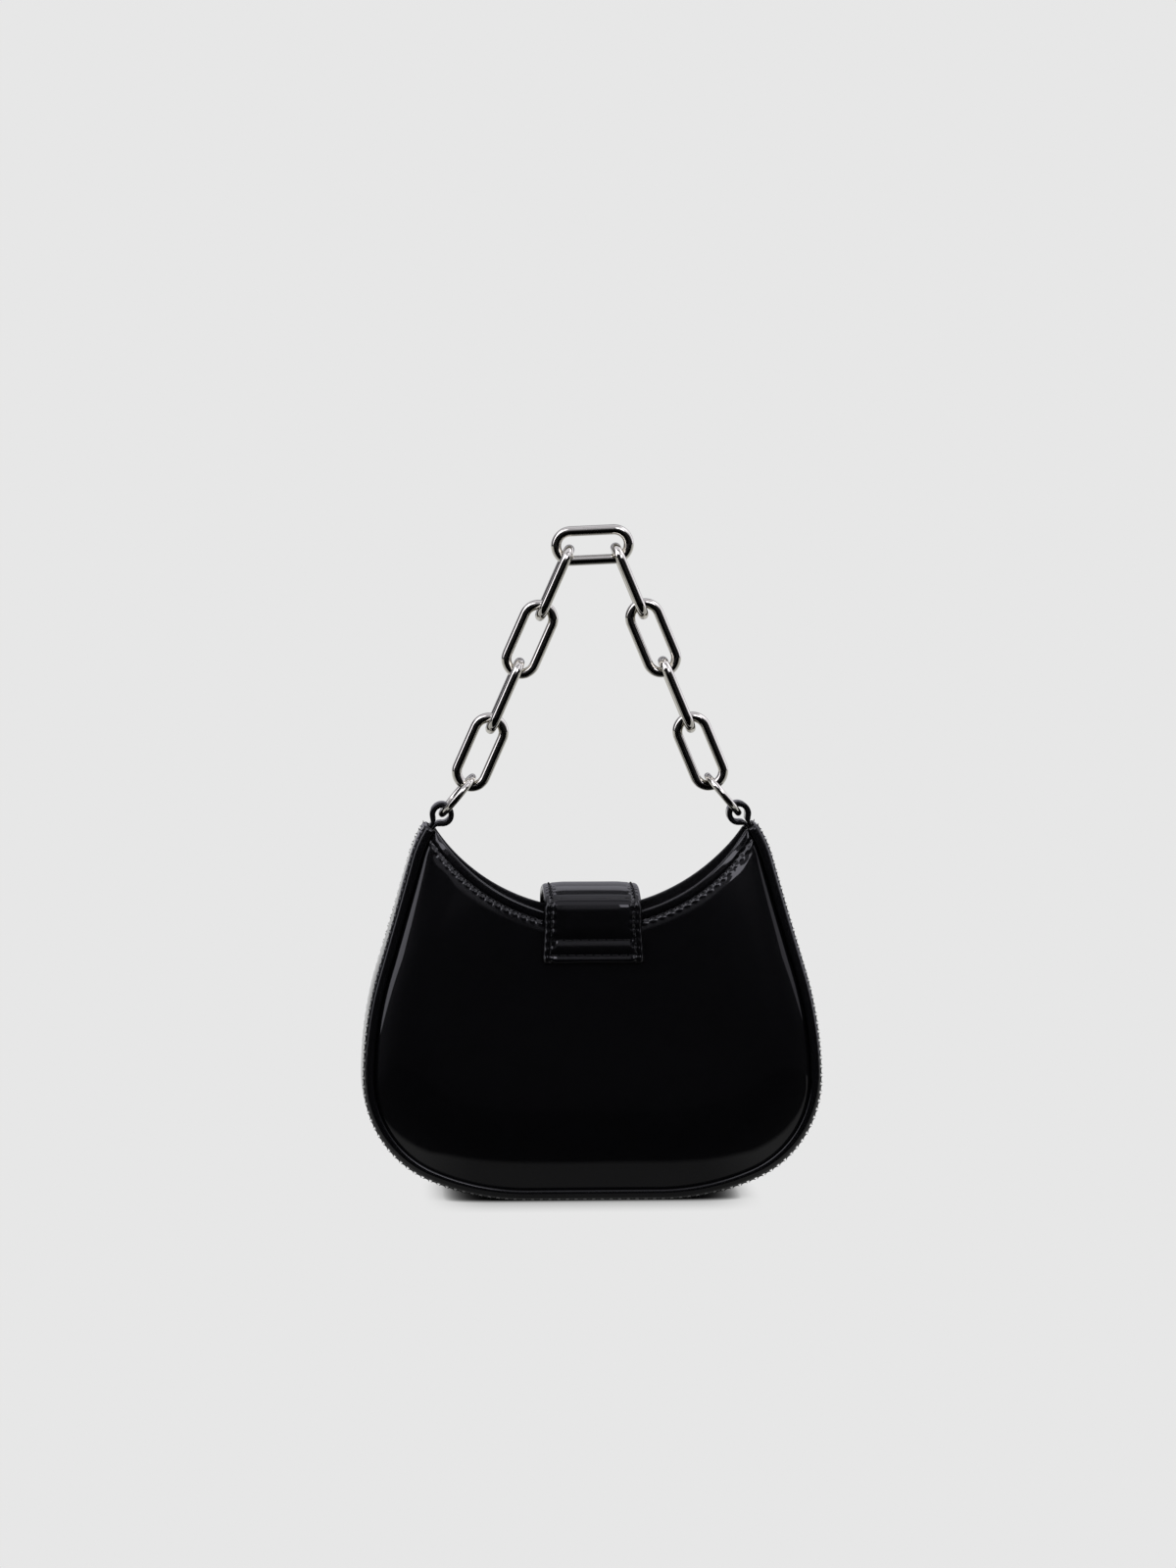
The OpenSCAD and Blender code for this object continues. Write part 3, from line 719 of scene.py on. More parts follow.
def lining_cloth(tree, where, f):
    """Lining: plain woven polyester. Its threads are drawn 0.7 mm apart, about twice the real spacing,
    because finer ones don't show."""
    uv = node(tree, "SeparateXYZ", {0: node(tree, "UVMap")}, None)
    threads = []
    for axis in ("X", "Y"):
        turn = node(tree, "Math", {0: uv[axis], 1: 2 * math.pi / 1.4}, operation="MULTIPLY")
        threads.append(node(tree, "Math", {0: turn}, operation="SINE"))
    over = node(tree, "Math", {0: threads[0], 1: threads[1]}, operation="MULTIPLY")
    slub = node(tree, "TexNoise", {"Vector": where, "Scale": 1 / (4 * MM), "Detail": 3})
    height = node(tree, "Math", {0: slub, 1: 0.5, 2: over}, operation="MULTIPLY_ADD")
    share = node(tree, "MapRange", {"Value": height, "From Min": -1.0, "From Max": 1.3})
    cloth = {"Roughness": 0.82, "Specular IOR Level": 0.25, "Sheen Weight": 0.25, "Sheen Roughness": 0.5}
    return (f.cloth, share, 0.55, 1.3), [(height, 0.12)], cloth


def fibreboard(tree, where, f):
    """Stiffeners: pressed fibreboard, with fibres a few millimetres long and darker flecks."""
    fibres = node(tree, "TexNoise", {"Vector": where, "Scale": 1 / (1.2 * MM), "Detail": 5, "Roughness": 0.7})
    flecks = node(tree, "TexNoise", {"Vector": where, "Scale": 1 / (6 * MM), "Detail": 2})
    mixed = node(tree, "Math", {0: flecks, 1: fibres}, operation="MULTIPLY")
    share = node(tree, "MapRange", {"Value": mixed, "From Min": 0.12, "From Max": 0.4})
    return (f.board, share, 0.6, 1.15), [(fibres, 0.08)], {"Roughness": 0.9, "Specular IOR Level": 0.2}


def nickel_plate(tree, where, f):
    """Chain and rings: cast zinc, polished and nickel plated. The plate is a grey mirror, warm in its
    lights, with faint handling haze that is duller in patches about 5 mm wide."""
    haze = node(tree, "TexNoise", {"Vector": where, "Scale": 1 / (5 * MM), "Detail": 4, "Roughness": 0.65})
    ripple = node(tree, "TexNoise", {"Vector": where, "Scale": 1 / (7 * MM), "Detail": 1})
    rough = node(tree, "MapRange", {"Value": haze, "From Min": 0.3, "To Min": 0.05, "To Max": 0.12})
    return (f.nickel, haze, 1.05, 0.85), [(ripple, 0.06)], {"Metallic": 1.0, "Roughness": rough}


def turned_steel(tree, where, f):
    """Closure discs: turned mild steel, with fine rings left by the lathe, drawn 0.6 mm apart to show."""
    rings = {"Vector": where, "Scale": 500.0}
    rings = node(tree, "TexWave", rings, "Fac", wave_type="RINGS", rings_direction="Y")
    return (f.steel, rings, 0.8, 1.05), [(rings, 0.01)], {"Metallic": 1.0, "Roughness": 0.34}


def waxed_thread(tree, where, f):
    """Stitches: twisted three-ply polyester thread, waxed, with a twist about 0.7 mm long."""
    twist = {"Vector": where, "Scale": 460.0, "Distortion": 0.5}
    twist = node(tree, "TexWave", twist, "Fac", bands_direction="DIAGONAL")
    return (f.thread, twist, 0.5, 1.5), [(twist, 0.05)], {"Roughness": 0.5, "Specular IOR Level": 0.3}


def finishes():
    """The materials by what they are used for."""
    f, s = bpy.context.scene.mini_bag_finish, bpy.context.scene.mini_bag_sewing
    rim = [("along", s.rim_inset / MM, 0.8, 0.3, 0, 0.26)]
    lap = [("along", 0, 0.7, 0.06, 0, 0)]
    tab = [("along", s.tab_inset / MM, 0.8, 0.3, 0.22, 0.22)]
    tab += [("across", row / MM, 0.8, 0.06, 0, 0) for row in ROOT_ROWS]
    return {
        "patent": material("patent_leather_plain", patent_leather, f, s, []),
        "patent_rim": material("patent_leather_sewn_rim", patent_leather, f, s, rim),
        "patent_lap": material("patent_leather_sewn_laps", patent_leather, f, s, lap),
        "patent_tab": material("patent_leather_sewn_tab", patent_leather, f, s, tab),
        "edge": material("edge_paint_black", edge_paint, f),
        "facing": material("embossed_calf_matte", facing_leather, f),
        "cloth": material("polyester_plain_weave", lining_cloth, f),
        "board": material("pressed_fibreboard", fibreboard, f),
        "nickel": material("polished_nickel_plate", nickel_plate, f),
        "steel": material("turned_mild_steel", turned_steel, f),
        "thread": material("waxed_polyester_thread", waxed_thread, f),
    }


def cad_finish(node_name, m):
    """Gives a CAD node that stays its material."""
    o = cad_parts[node_name]
    for slot in o.material_slots:
        slot.material = m
    if not o.material_slots:
        o.data.materials.append(m)


def forms():
    """The forms of the body and of the tab, from the sizes in the scene."""
    scene = bpy.context.scene
    body = BodyForm(scene.mini_bag_body, scene.mini_bag_sewing.rim_inset)
    return body, TabForm(body, scene.mini_bag_tab)


def rim_stitches(body, sewing):
    """Number of stitches in a rim's row."""
    return round(2 * body.mouth_r * body.mouth_half / sewing.pitch)


def lap_stitches(body, sewing):
    """Number of stitches in a lap's row."""
    return round(2 * body.half_length / sewing.pitch)


# Operators


def finished(piece, body, nodes=()):
    """A finished piece rides on its body, and the CAD nodes it stands for are hidden."""
    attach(piece, body)
    if nodes:
        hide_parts(*nodes)


class MiniBagOperator(bpy.types.Operator):
    """What the bag's operators share"""

    bl_options = {"REGISTER", "UNDO"}


# Soft boxes seen by glossy rays: ranges with their softness, then the strength. over runs from the
# camera's side (0) over the top (90) to the back (180), side from left to right of the camera's side, and
# height above level, all in degrees. slant is the turn to either side plus the height, and x and y are the
# direction's parts.
SOFT_BOXES = (
    (("y", 0.5, 2.0, 0.3), ("height", -95, 35, 1.0), 0.3),
    (("over", 144.5, 156, 1.0), ("x", -0.75, 0.75, 0.1), 0.32),
    (("over", 110, 134, 1.0), ("x", -0.75, 0.75, 0.1), 0.55),
    (("over", 79, 110, 1.0), ("x", -0.75, 0.75, 0.1), 1.0),
    (("over", 44, 73, 3.0), ("x", -0.75, 0.75, 0.1), 0.75),
    (("over", 20, 44, 8.0), ("x", -0.12, 0.12, 0.03), 0.35),
    (("side", 8.5, 34, 1.0), ("height", 28, 44, 1.5), 4.5),
    (("side", -45, -12, 2.0), ("height", 40, 60, 2.0), 2.0),
    (("side", -86, -40, 2.0), ("slant", 82, 170, 0.7), ("height", 2, 60, 2.0), 2.3),
    (("side", 40, 116, 2.0), ("slant", 88, 170, 0.7), ("height", 2, 60, 2.0), 0.75),
    (("side", 96, 140, 4.0), ("height", -35, 60, 5.0), 0.9),
)
# What glossy rays find between the soft boxes, and the plain light that all other rays find
DARK_ROOM = 0.014
PLAIN_LIGHT = 0.9
LIGHT_COLOUR = (0.9, 0.89, 1.0, 1)


class MINIBAG_OT_stage(MiniBagOperator):
    """Adds the pale floor, the soft lamps, the surroundings that leather and metal mirror, and the camera"""

    bl_idname = "mini_bag.stage"
    bl_label = "Studio and camera"

    def execute(self, context):
        s = context.scene.mini_bag_stage
        self.floor(s)
        self.surroundings(context, s)
        self.lamps(context)
        self.camera(context, s)
        context.scene.view_settings.view_transform = "Standard"
        return {"FINISHED"}

    def floor(self, s):
        """The floor glows plain to the camera but for the contact shadow, which is a painted shadow. In
        reflections
        its glow is painted light and shade: dark in front of the bag, dim under it, and paler at its sides
        and behind it."""
        pale = (*s.backdrop[:3], 1)
        deselect()
        bpy.ops.mesh.primitive_grid_add(x_subdivisions=8, y_subdivisions=8, size=12)
        floor = bpy.context.object
        floor.name = "studio_floor"
        m, tree = blank("painted_studio_floor")
        floor.data.materials.append(m)
        path = node(tree, "LightPath", output=None)
        place = node(tree, "SeparateXYZ", {0: node(tree, "NewGeometry", output="Position")}, None)
        wide = node(tree, "Math", {0: place["X"]}, operation="ABSOLUTE")
        # past this distance to either side, the dark part's border turns towards the camera
        past = node(tree, "Math", {0: wide, 1: 85 * MM}, operation="SUBTRACT")
        past = node(tree, "Math", {0: past, 1: 0.0}, operation="MAXIMUM")
        border = node(tree, "Math", {0: past, 1: 0.4, 2: place["Y"]}, operation="MULTIPLY_ADD")
        levels = []
        for value, low, high, first, second in (
            (border, -74, -62, 0.004, 1.0),
            (place["Y"], 50, 120, 0.25, 0.5),
            (wide, 50, 100, 0.0, 0.3),
            (wide, 45, 75, 0.9, 0.0),
        ):
            ends = {"From Min": low * MM, "From Max": high * MM, "To Min": first, "To Max": second}
            levels.append(node(tree, "MapRange", {"Value": value, **ends}, interpolation_type="SMOOTHSTEP"))
        front, behind, beside, softness = levels
        # a tight dark line where the bag stands, and a soft shadow that ends before its corners
        contact = node(tree, "AmbientOcclusion", {"Distance": 6 * MM}, "AO", samples=24)
        contact = node(tree, "Math", {0: contact, 1: 1.5}, operation="POWER")
        soft = node(tree, "AmbientOcclusion", {"Distance": 35 * MM}, "AO", samples=24)
        soft = node(tree, "Math", {0: soft, 1: softness}, operation="POWER")
        shadow = node(tree, "Math", {0: contact, 1: soft}, operation="MULTIPLY")
        # painted light and shade of the floor's glow in reflections, set by place
        level = node(tree, "Math", {0: behind, 1: beside}, operation="ADD")
        level = node(tree, "Math", {0: level, 1: front}, operation="MULTIPLY")
        glossy = path["Is Glossy Ray"]
        level = node(tree, "Mix", {"Factor": glossy, "A": shadow, "B": level}, "Result", data_type="FLOAT")
        glow = node(tree, "Emission", {"Color": pale, "Strength": level})
        paint = node(tree, "BsdfDiffuse", {"Color": pale})
        seen = glossy
        for kind in ("Is Transmission Ray", "Is Camera Ray"):
            seen = node(tree, "Math", {0: seen, 1: path[kind]}, operation="MAXIMUM")
        node(tree, "OutputMaterial", {"Surface": node(tree, "MixShader", {0: seen, 1: paint, 2: glow})})

    def surroundings(self, context, s):
        """The world: pale to the camera, plain light on the object, and for reflections a grey wall
        behind, a dark room in front and soft boxes at the sides and overhead."""
        world = bpy.data.worlds.new("studio")
        context.scene.world = world
        world.use_nodes = True
        tree = world.node_tree
        tree.nodes.clear()
        way = node(tree, "SeparateXYZ", {0: node(tree, "TexCoord", output="Generated")}, None)
        front = node(tree, "Math", {0: way["Y"], 1: -1.0}, operation="MULTIPLY")
        turns = {"x": way["X"], "y": way["Y"]}
        for name, first, second, operation in (
            ("over", way["Z"], front, "ARCTAN2"),
            ("side", way["X"], front, "ARCTAN2"),
            ("height", way["Z"], 0.0, "ARCSINE"),
        ):
            turn = node(tree, "Math", {0: first, 1: second}, operation=operation)
            turns[name] = node(tree, "Math", {0: turn, 1: 180 / math.pi}, operation="MULTIPLY")
        wide = node(tree, "Math", {0: turns["side"]}, operation="ABSOLUTE")
        turns["slant"] = node(tree, "Math", {0: turns["height"], 1: wide}, operation="ADD")
        total = DARK_ROOM
        for *ranges, strength in SOFT_BOXES:
            box = strength
            for name, low, high, soft in ranges:
                for edge, start in ((low, 0.0), (high, 1.0)):
                    fade = {"Value": turns[name], "From Min": edge - soft, "From Max": edge + soft}
                    fade = {**fade, "To Min": start, "To Max": 1 - start}
                    fade = node(tree, "MapRange", fade, interpolation_type="SMOOTHSTEP")
                    box = node(tree, "Math", {0: fade, 1: box}, operation="MULTIPLY")
            total = node(tree, "Math", {0: box, 1: total}, operation="ADD")
        path = node(tree, "LightPath", output=None)
        camera = path["Is Camera Ray"]
        lit = {"Factor": path["Is Glossy Ray"], "A": PLAIN_LIGHT, "B": total}
        lit = node(tree, "Mix", lit, "Result", data_type="FLOAT")
        strength = node(tree, "Mix", {"Factor": camera, "A": lit, "B": 1.0}, "Result", data_type="FLOAT")
        colours = {"Factor": camera, "A": LIGHT_COLOUR, "B": (*s.backdrop[:3], 1)}
        colour = node(tree, "Mix", colours, "Result", data_type="RGBA")
        light = node(tree, "Background", {"Color": colour, "Strength": strength})
        node(tree, "OutputWorld", {"Surface": light})

    def lamps(self, context):
        for name, place, size, power in (
            ("overhead_lamp", (0.1, -0.2, 1.4), 1.2, 6.0),
            ("side_lamp", (-1.2, -0.7, 0.7), 0.8, 3.0),
        ):
            lamp = bpy.data.lights.new(name, "AREA")
            lamp.size, lamp.energy = size, power
            o = bpy.data.objects.new(name, lamp)
            o.location = place
            aim = Vector((0, 0, 0.1)) - Vector(place)
            o.rotation_euler = aim.to_track_quat("-Z", "Y").to_euler()
            o.visible_glossy = False
            o.visible_camera = False
            context.scene.collection.objects.link(o)

    def camera(self, context, s):
        cam = bpy.data.objects.new("camera", bpy.data.cameras.new("camera"))
        context.scene.collection.objects.link(cam)
        context.scene.camera = cam
        a, e = s.azimuth, s.elevation
        back = Vector((math.sin(a) * math.cos(e), -math.cos(a) * math.cos(e), math.sin(e)))
        cam.location = Vector((s.aim_x, 0, s.aim_z)) + back * s.distance
        cam.rotation_euler = (-back).to_track_quat("-Z", "Y").to_euler()
        cam.data.sensor_width = 36
        cam.data.lens = cam.data.sensor_width * s.distance / s.frame_height
        cam.data.clip_start, cam.data.clip_end = 0.05, 60


class MINIBAG_OT_panels(MiniBagOperator):
    """Adds the domed back and front panels, with their rims pressed along the stitches"""

    bl_idname = "mini_bag.panels"
    bl_label = "Panels"

    def execute(self, context):
        body, _ = forms()
        s, f = body.s, finishes()
        stitches = rim_stitches(body, context.scene.mini_bag_sewing)
        ways = [i / 150 - 1 for i in range(301)]
        # rows of points: under the lap, over the border, across the dome, and down to the rim in millimetres
        below = [10.2, 9.4, 8.6, 7.8, 7, 6.2, 5.6, 5, 4.6, 4.3, 4, 3.7, 3.4, 3, 2.4, 1.8, 1.3]
        below += [0.9, 0.6, 0.35, 0.15, 0]
        rows = [("lap", n * MM) for n in (3, 4.2)]
        rows += [("start", (i / 24) ** 1.6) for i in range(24)]
        rows += [("middle", i / 8) for i in range(9)]
        rows += [("rim", d * MM) for d in below]
        border, rim = 42 * MM, 11 * MM

        def share(kind, value, span):
            low, high = min(border, 0.45 * span) / span, 1 - min(rim, 0.45 * span) / span
            if kind == "start":
                return low * value
            if kind == "middle":
                return low + (high - low) * value
            return 1 - (1 - high) * value / rim

        def uv(way, row):
            span = body.span(way)
            reach = span if row[0] == "lap" else span * (1 - share(*row, span))
            return (way + 1) / 2 * stitches, reach / MM

        skins = [f["patent_rim"], f["edge"]]
        for name, side in (("back_panel", -1), ("front_panel", 1)):

            def place(way, row, inner):
                if row[0] == "lap":
                    return body.on_border(side, way, row[1], s.panel * inner)
                return body.on_panel(side, way, share(*row, body.span(way)), s.panel * inner, not inner)

            piece = shell(name + "_leather", ways, rows, place, skins, (0, 0, 0, 0.9 * MM), uv)
            finished(piece, "bag", [name])
        return {"FINISHED"}


class MINIBAG_OT_gusset(MiniBagOperator):
    """Adds the strip round the sides and the base, lapped over both panels"""

    bl_idname = "mini_bag.gusset"
    bl_label = "Gusset"

    def execute(self, context):
        body, _ = forms()
        f = finishes()
        stitches = lap_stitches(body, context.scene.mini_bag_sewing)
        ways = [i / 270 - 1 for i in range(541)]
        # rows of points, in millimetres from the lap's edge and round its fold, then shares of the middle
        lap_rows = [0, 0.06, 0.2, 0.42, 0.7, 1.1, 1.5, 1.9, 2.2, 2.5, 2.8, 3.2]
        lap_rows += [3.6, 4, 4.5, 5.2, 5.9, 6.6, 7.2]
        whole = body.lap_run / MM
        half = [1 - 0.5 * r / whole for r in lap_rows] + [0.46, 0.4, 0.32, 0.24, 0.16, 0.08]
        rows = [-r for r in half] + [0] + half[::-1]

        def place(way, across, inner):
            return body.on_gusset(way, across, inner, stitches)

        def uv(way, across):
            return (way + 1) / 2 * stitches, (1 - abs(across)) * 2 * whole - LAP_ROW / MM

        piece = shell("gusset_leather", ways, rows, place, [f["patent_lap"], f["edge"]], (0.9 * MM,) * 4, uv)
        finished(piece, "bag", ["gusset"])
        return {"FINISHED"}


class MINIBAG_OT_facings(MiniBagOperator):
    """Adds the matte bands inside the mouth"""

    bl_idname = "mini_bag.facings"
    bl_label = "Facings"

    def execute(self, context):
        body, _ = forms()
        s, f = body.s, finishes()
        ways = [i / 90 - 1 for i in range(181)]
        rows = [0, 0.03, 0.1, 0.3, 0.5, 0.7, 0.85, 0.93, 0.96, 0.98, 0.992, 1]
        depth = s.panel + s.layer
        skins = [f["facing"], f["edge"]]
        for name, side in (("facing_back", -1), ("facing_front", 1)):

            def place(way, v, inner):
                start = body.facing_share(body.span(way))
                return body.on_panel(side, way, start + (1 - start) * v, depth + s.facing * inner, False)

            piece = shell(name + "_leather", ways, rows, place, skins, (0, 0, 0.8 * MM, 0.8 * MM))
            finished(piece, "bag", [name])
        return {"FINISHED"}


class MINIBAG_OT_linings(MiniBagOperator):
    """Adds the sewn cloth pouch inside the bag"""

    bl_idname = "mini_bag.linings"
    bl_label = "Linings"

    def execute(self, context):
        body, _ = forms()
        s, f = body.s, finishes()
        end = (sum(body.runs[:4]) + body.runs[4] * 2 / 3) / body.half_length
        ways = [end * (i / 80 - 1) for i in range(161)]
        cloth, board, slack = 0.68 * MM, 0.8 * MM, 1.1 * MM
        off_gusset = s.gusset + 2 * MM
        depth = s.panel + s.layer + board + s.layer
        rows = [-1] + [i / 34 for i in range(35)]

        def folds(x, z, calm):
            """Slack of the cloth, towards the inside of the bag."""
            a = math.sin(x * 120 + math.sin(z * 60) * 1.5) * math.sin(z * 74 + x * 22 + 0.8)
            return calm * (0.5 + 0.5 * a) * slack

        def uv(way, v):
            return way * body.half_length / MM, max(v, 0) * body.span(way) / MM

        for name, side in (("lining_back", -1), ("lining_front", 1)):

            def place(way, v, inner):
                back = depth + cloth * inner
                if v < 0:
                    return body.on_border(side, way, off_gusset + cloth, back)
                p = body.on_panel(side, way, v * body.facing_share(body.span(way)), back, False)
                p.y -= side * folds(p.x, p.z, min(1, 5 * v) * min(1, 6 * (1 - v)))
                return p

            piece = shell(name + "_cloth", ways, rows, place, [f["cloth"]], uv=uv)
            finished(piece, "bag", [name])
            self.cut(piece, 2 * end * body.half_length, body.full_span)

        def strip(way, k, inner):
            e = body.edge(way)
            n = off_gusset + cloth * inner
            b = body.bulge(e[1])
            y = body.panel_half(e[1] - (b + n) * e[3]) - s.panel - s.layer
            x, z = body.inside(e, b * k * k + n)
            up = clamp(e[1] / (20 * MM) - 1)
            x, z = body.inside(e, b * k * k + n + folds(x, z + y * k, (1 - k * k) * up) * 0.5)
            return Vector((x, y * k, z))

        def strip_uv(way, k):
            return way * body.half_length / MM, k * body.half_depth(0) / MM

        across = [i / 14 - 1 for i in range(29)]
        piece = shell("lining_gusset_cloth", ways, across, strip, [f["cloth"]], uv=strip_uv)
        finished(piece, "bag", ["lining_gusset"])
        self.cut(piece, 2 * end * body.half_length, s.base_depth)
        return {"FINISHED"}

    def cut(self, piece, length, width):
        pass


class MINIBAG_OT_boards(MiniBagOperator):
    """Gives the stiffeners, the base board and the closure's discs their materials"""

    bl_idname = "mini_bag.boards"
    bl_label = "Boards and closure"

    def execute(self, context):
        f = finishes()
        for name in ("stiffener_back", "stiffener_front", "base_board"):
            cad_finish(name, f["board"])
        for name in ("flap_magnet", "keeper_disc"):
            cad_finish(name, f["steel"])
        return {"FINISHED"}


class MINIBAG_OT_loops(MiniBagOperator):
    """Adds the folded leather loops that hold the rings"""

    bl_idname = "mini_bag.loops"
    bl_label = "Loops"

    def execute(self, context):
        f = finishes()
        body, _ = forms()
        s = context.scene.mini_bag_loops
        eye = EyeForm(body, s)
        r = s.hole + s.eye_strap / 2
        # one side of the strap's middle line, as distances below the eye's middle and to the side: round the
        # eye, in to the other half, and down the tail
        side = [(-r * math.cos(a), r * math.sin(a)) for a in (math.radians(d) for d in range(0, 148, 7))]
        side += [(4.35 * MM, 1.35 * MM), (5.2 * MM, 0.86 * MM), (6.2 * MM, 0.74 * MM)]
        side += [((7.2 + i * 1.9) * MM, 0.71 * MM) for i in range(8)]
        path = [(l, -w) for l, w in side[::-1]] + side[1:]
        lines = []
        for k, (l, w) in enumerate(path):
            a, b = path[max(k - 1, 0)], path[min(k + 1, len(path) - 1)]
            d = Vector((b[0] - a[0], b[1] - a[1])).normalized()
            lines.append((l, w, d.y, -d.x))
        across = [-1, -0.985, -0.95, -0.9, -0.6, -0.2, 0.2, 0.6, 0.9, 0.95, 0.985, 1]
        rounded = (0.5 * MM, 0.5 * MM, 0.7 * MM, 0.7 * MM)
        for name, sign in (("loop_left", -1), ("loop_right", 1)):

            def place(k, v, inner):
                l, w, nl, nw = lines[k]
                # the strap thins to its tail between 4.2 and 5.6 mm below the eye's middle
                thick = s.strap + (s.eye_strap - s.strap) * clamp((5.6 * MM - l) / (1.4 * MM))
                off = thick / (-2 if inner else 2)
                x, z = eye.at(l - off * nl, w - off * nw)
                return Vector((sign * x, v * s.width / 2, z))

            skins = [f["patent"], f["edge"]]
            piece = shell(name + "_leather", range(len(lines)), across, place, skins, rounded)
            finished(piece, "bag", [name])
        return {"FINISHED"}


class MINIBAG_OT_tab(MiniBagOperator):
    """Adds the padded closing tab, from its sewn end on the back over the mouth to its free end"""

    bl_idname = "mini_bag.tab"
    bl_label = "Closing tab"

    def execute(self, context):
        body, tab = forms()
        f, sewing = finishes(), context.scene.mini_bag_sewing
        inset, pitch = sewing.tab_inset, sewing.pitch
        # rows of points, in millimetres from the ends and from the sides, and even ones between them
        ends = [d * MM for d in (0, 0.1, 0.3, 0.6, 1, 1.5, 2.1, 2.8, 3.6, 4.5, 5.5, 6.6)]
        start, stop, steps = 7.6 * MM, tab.total - 7.6 * MM, 96
        runs = ends + [start + (stop - start) * i / steps for i in range(steps + 1)]
        runs += [tab.total - d for d in ends[::-1]]
        margin = [d * MM for d in (0, 0.05, 0.15, 0.35, 0.7, 1.2, 1.7, 2.2, 2.6, 3, 3.4, 3.9, 4.6, 5.6, 7)]
        rows = [("edge", -1, d) for d in margin]
        rows += [("middle", i / 8, 0) for i in range(-7, 8)]
        rows += [("edge", 1, d) for d in margin[::-1]]

        def across(run, row):
            kind, side, d = row
            half = tab.half_width(run)
            return side * (half - margin[-1] if kind == "middle" else half - d)

        def place(run, row, inner):
            a = across(run, row)
            return tab.at(run, a, 0 if inner else tab.height(run, a, inset))

        def uv(run, row):
            return run / pitch, (tab.half_width(run) - abs(across(run, row))) / MM

        skins = [f["patent_tab"], f["edge"]]
        piece = shell("closing_tab_leather", runs, rows, place, skins, (1.0 * MM,) * 4, uv)
        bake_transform(piece)
        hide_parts("flap_anchor", "flap_strap", "flap_backing")
        return {"FINISHED"}


class MINIBAG_OT_stitches(MiniBagOperator):
    """Adds the stitches along the rims, the gusset's laps and the tab"""

    bl_idname = "mini_bag.stitches"
    bl_label = "Stitches"

    def execute(self, context):
        body, tab = forms()
        s, f = context.scene.mini_bag_sewing, finishes()
        model = stitch_model(s)
        # the rims' rows leave out what the tab hides and the last stretch at each corner
        hidden, end = tab.s.root_width / 2 + 0.6 * MM, 62.5 * MM
        for name, side in (("rim_stitches_back", -1), ("rim_stitches_front", 1)):

            def on_rim(t, beside):
                way = 2 * t - 1
                span = body.span(way)
                share = 1 - min(span * 0.9, s.rim_inset - side * beside) / span
                return body.on_panel(side, way, share, 0)

            places = row_matrices(on_rim, rim_stitches(body, s), lambda p: not hidden <= abs(p.x) <= end)
            finished(copies(name, model, places, [f["thread"]]), "bag")
        stitches = lap_stitches(body, s)
        for name, side in (("lap_stitches_back", -1), ("lap_stitches_front", 1)):

            def on_lap(t, beside):
                run = LAP_ROW - side * beside
                return body.on_gusset(2 * t - 1, side * (1 - 0.5 * run / body.lap_run), 0, stitches)

            places = row_matrices(on_lap, stitches)
            finished(copies(name, model, places, [f["thread"]]), "bag")
        piece = copies("tab_stitches", model, self.tab_rows(tab, s), [f["thread"]])
        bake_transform(piece)
        bpy.data.meshes.remove(model)
        return {"FINISHED"}

    def tab_rows(self, tab, s):
        """One row down each side and round the free end, and two across the sewn end."""
        inset, steps = s.tab_inset, 160
        first, last = ROOT_ROWS
        end = tab.total - tab.s.corner
        runs = [first + (end - first) * i / steps for i in range(steps + 1)]
        right = [(run, tab.half_width(run) - inset) for run in runs]
        r = tab.s.corner - inset
        centre = tab.s.tip_width / 2 - tab.s.corner
        turns = [math.radians(d) for d in range(10, 91, 10)]
        right += [(end + r * math.sin(a), centre + r * math.cos(a)) for a in turns]
        lines = [right + [(a, -b) for a, b in right[::-1]]]
        for row, short in ((first, 0), (last, s.pitch * 0.5)):
            half = tab.half_width(row) - inset - short
            lines.append([(row, half * (i / 20 - 1)) for i in range(41)])
        found = []
        h = 0.2 * MM
        for line in lines:
            steps = [math.hypot(b[0] - a[0], b[1] - a[1]) for a, b in zip(line, line[1:])]
            ends = np.concatenate([[0], np.cumsum(steps)])
            parts = list(zip(*line))

            def at(here):
                return [float(np.interp(here, ends, part)) for part in parts]

            def place(t, beside):
                here = t * ends[-1]
                run, side = at(here)
                ahead, behind = at(min(ends[-1], here + h)), at(max(0, here - h))
                d = Vector((ahead[0] - behind[0], ahead[1] - behind[1])).normalized()
                run, side = run - d.y * beside, side + d.x * beside
                return tab.at(run, side, tab.height(run, side, inset))

            found += row_matrices(place, round(float(ends[-1]) / s.pitch))
        return found


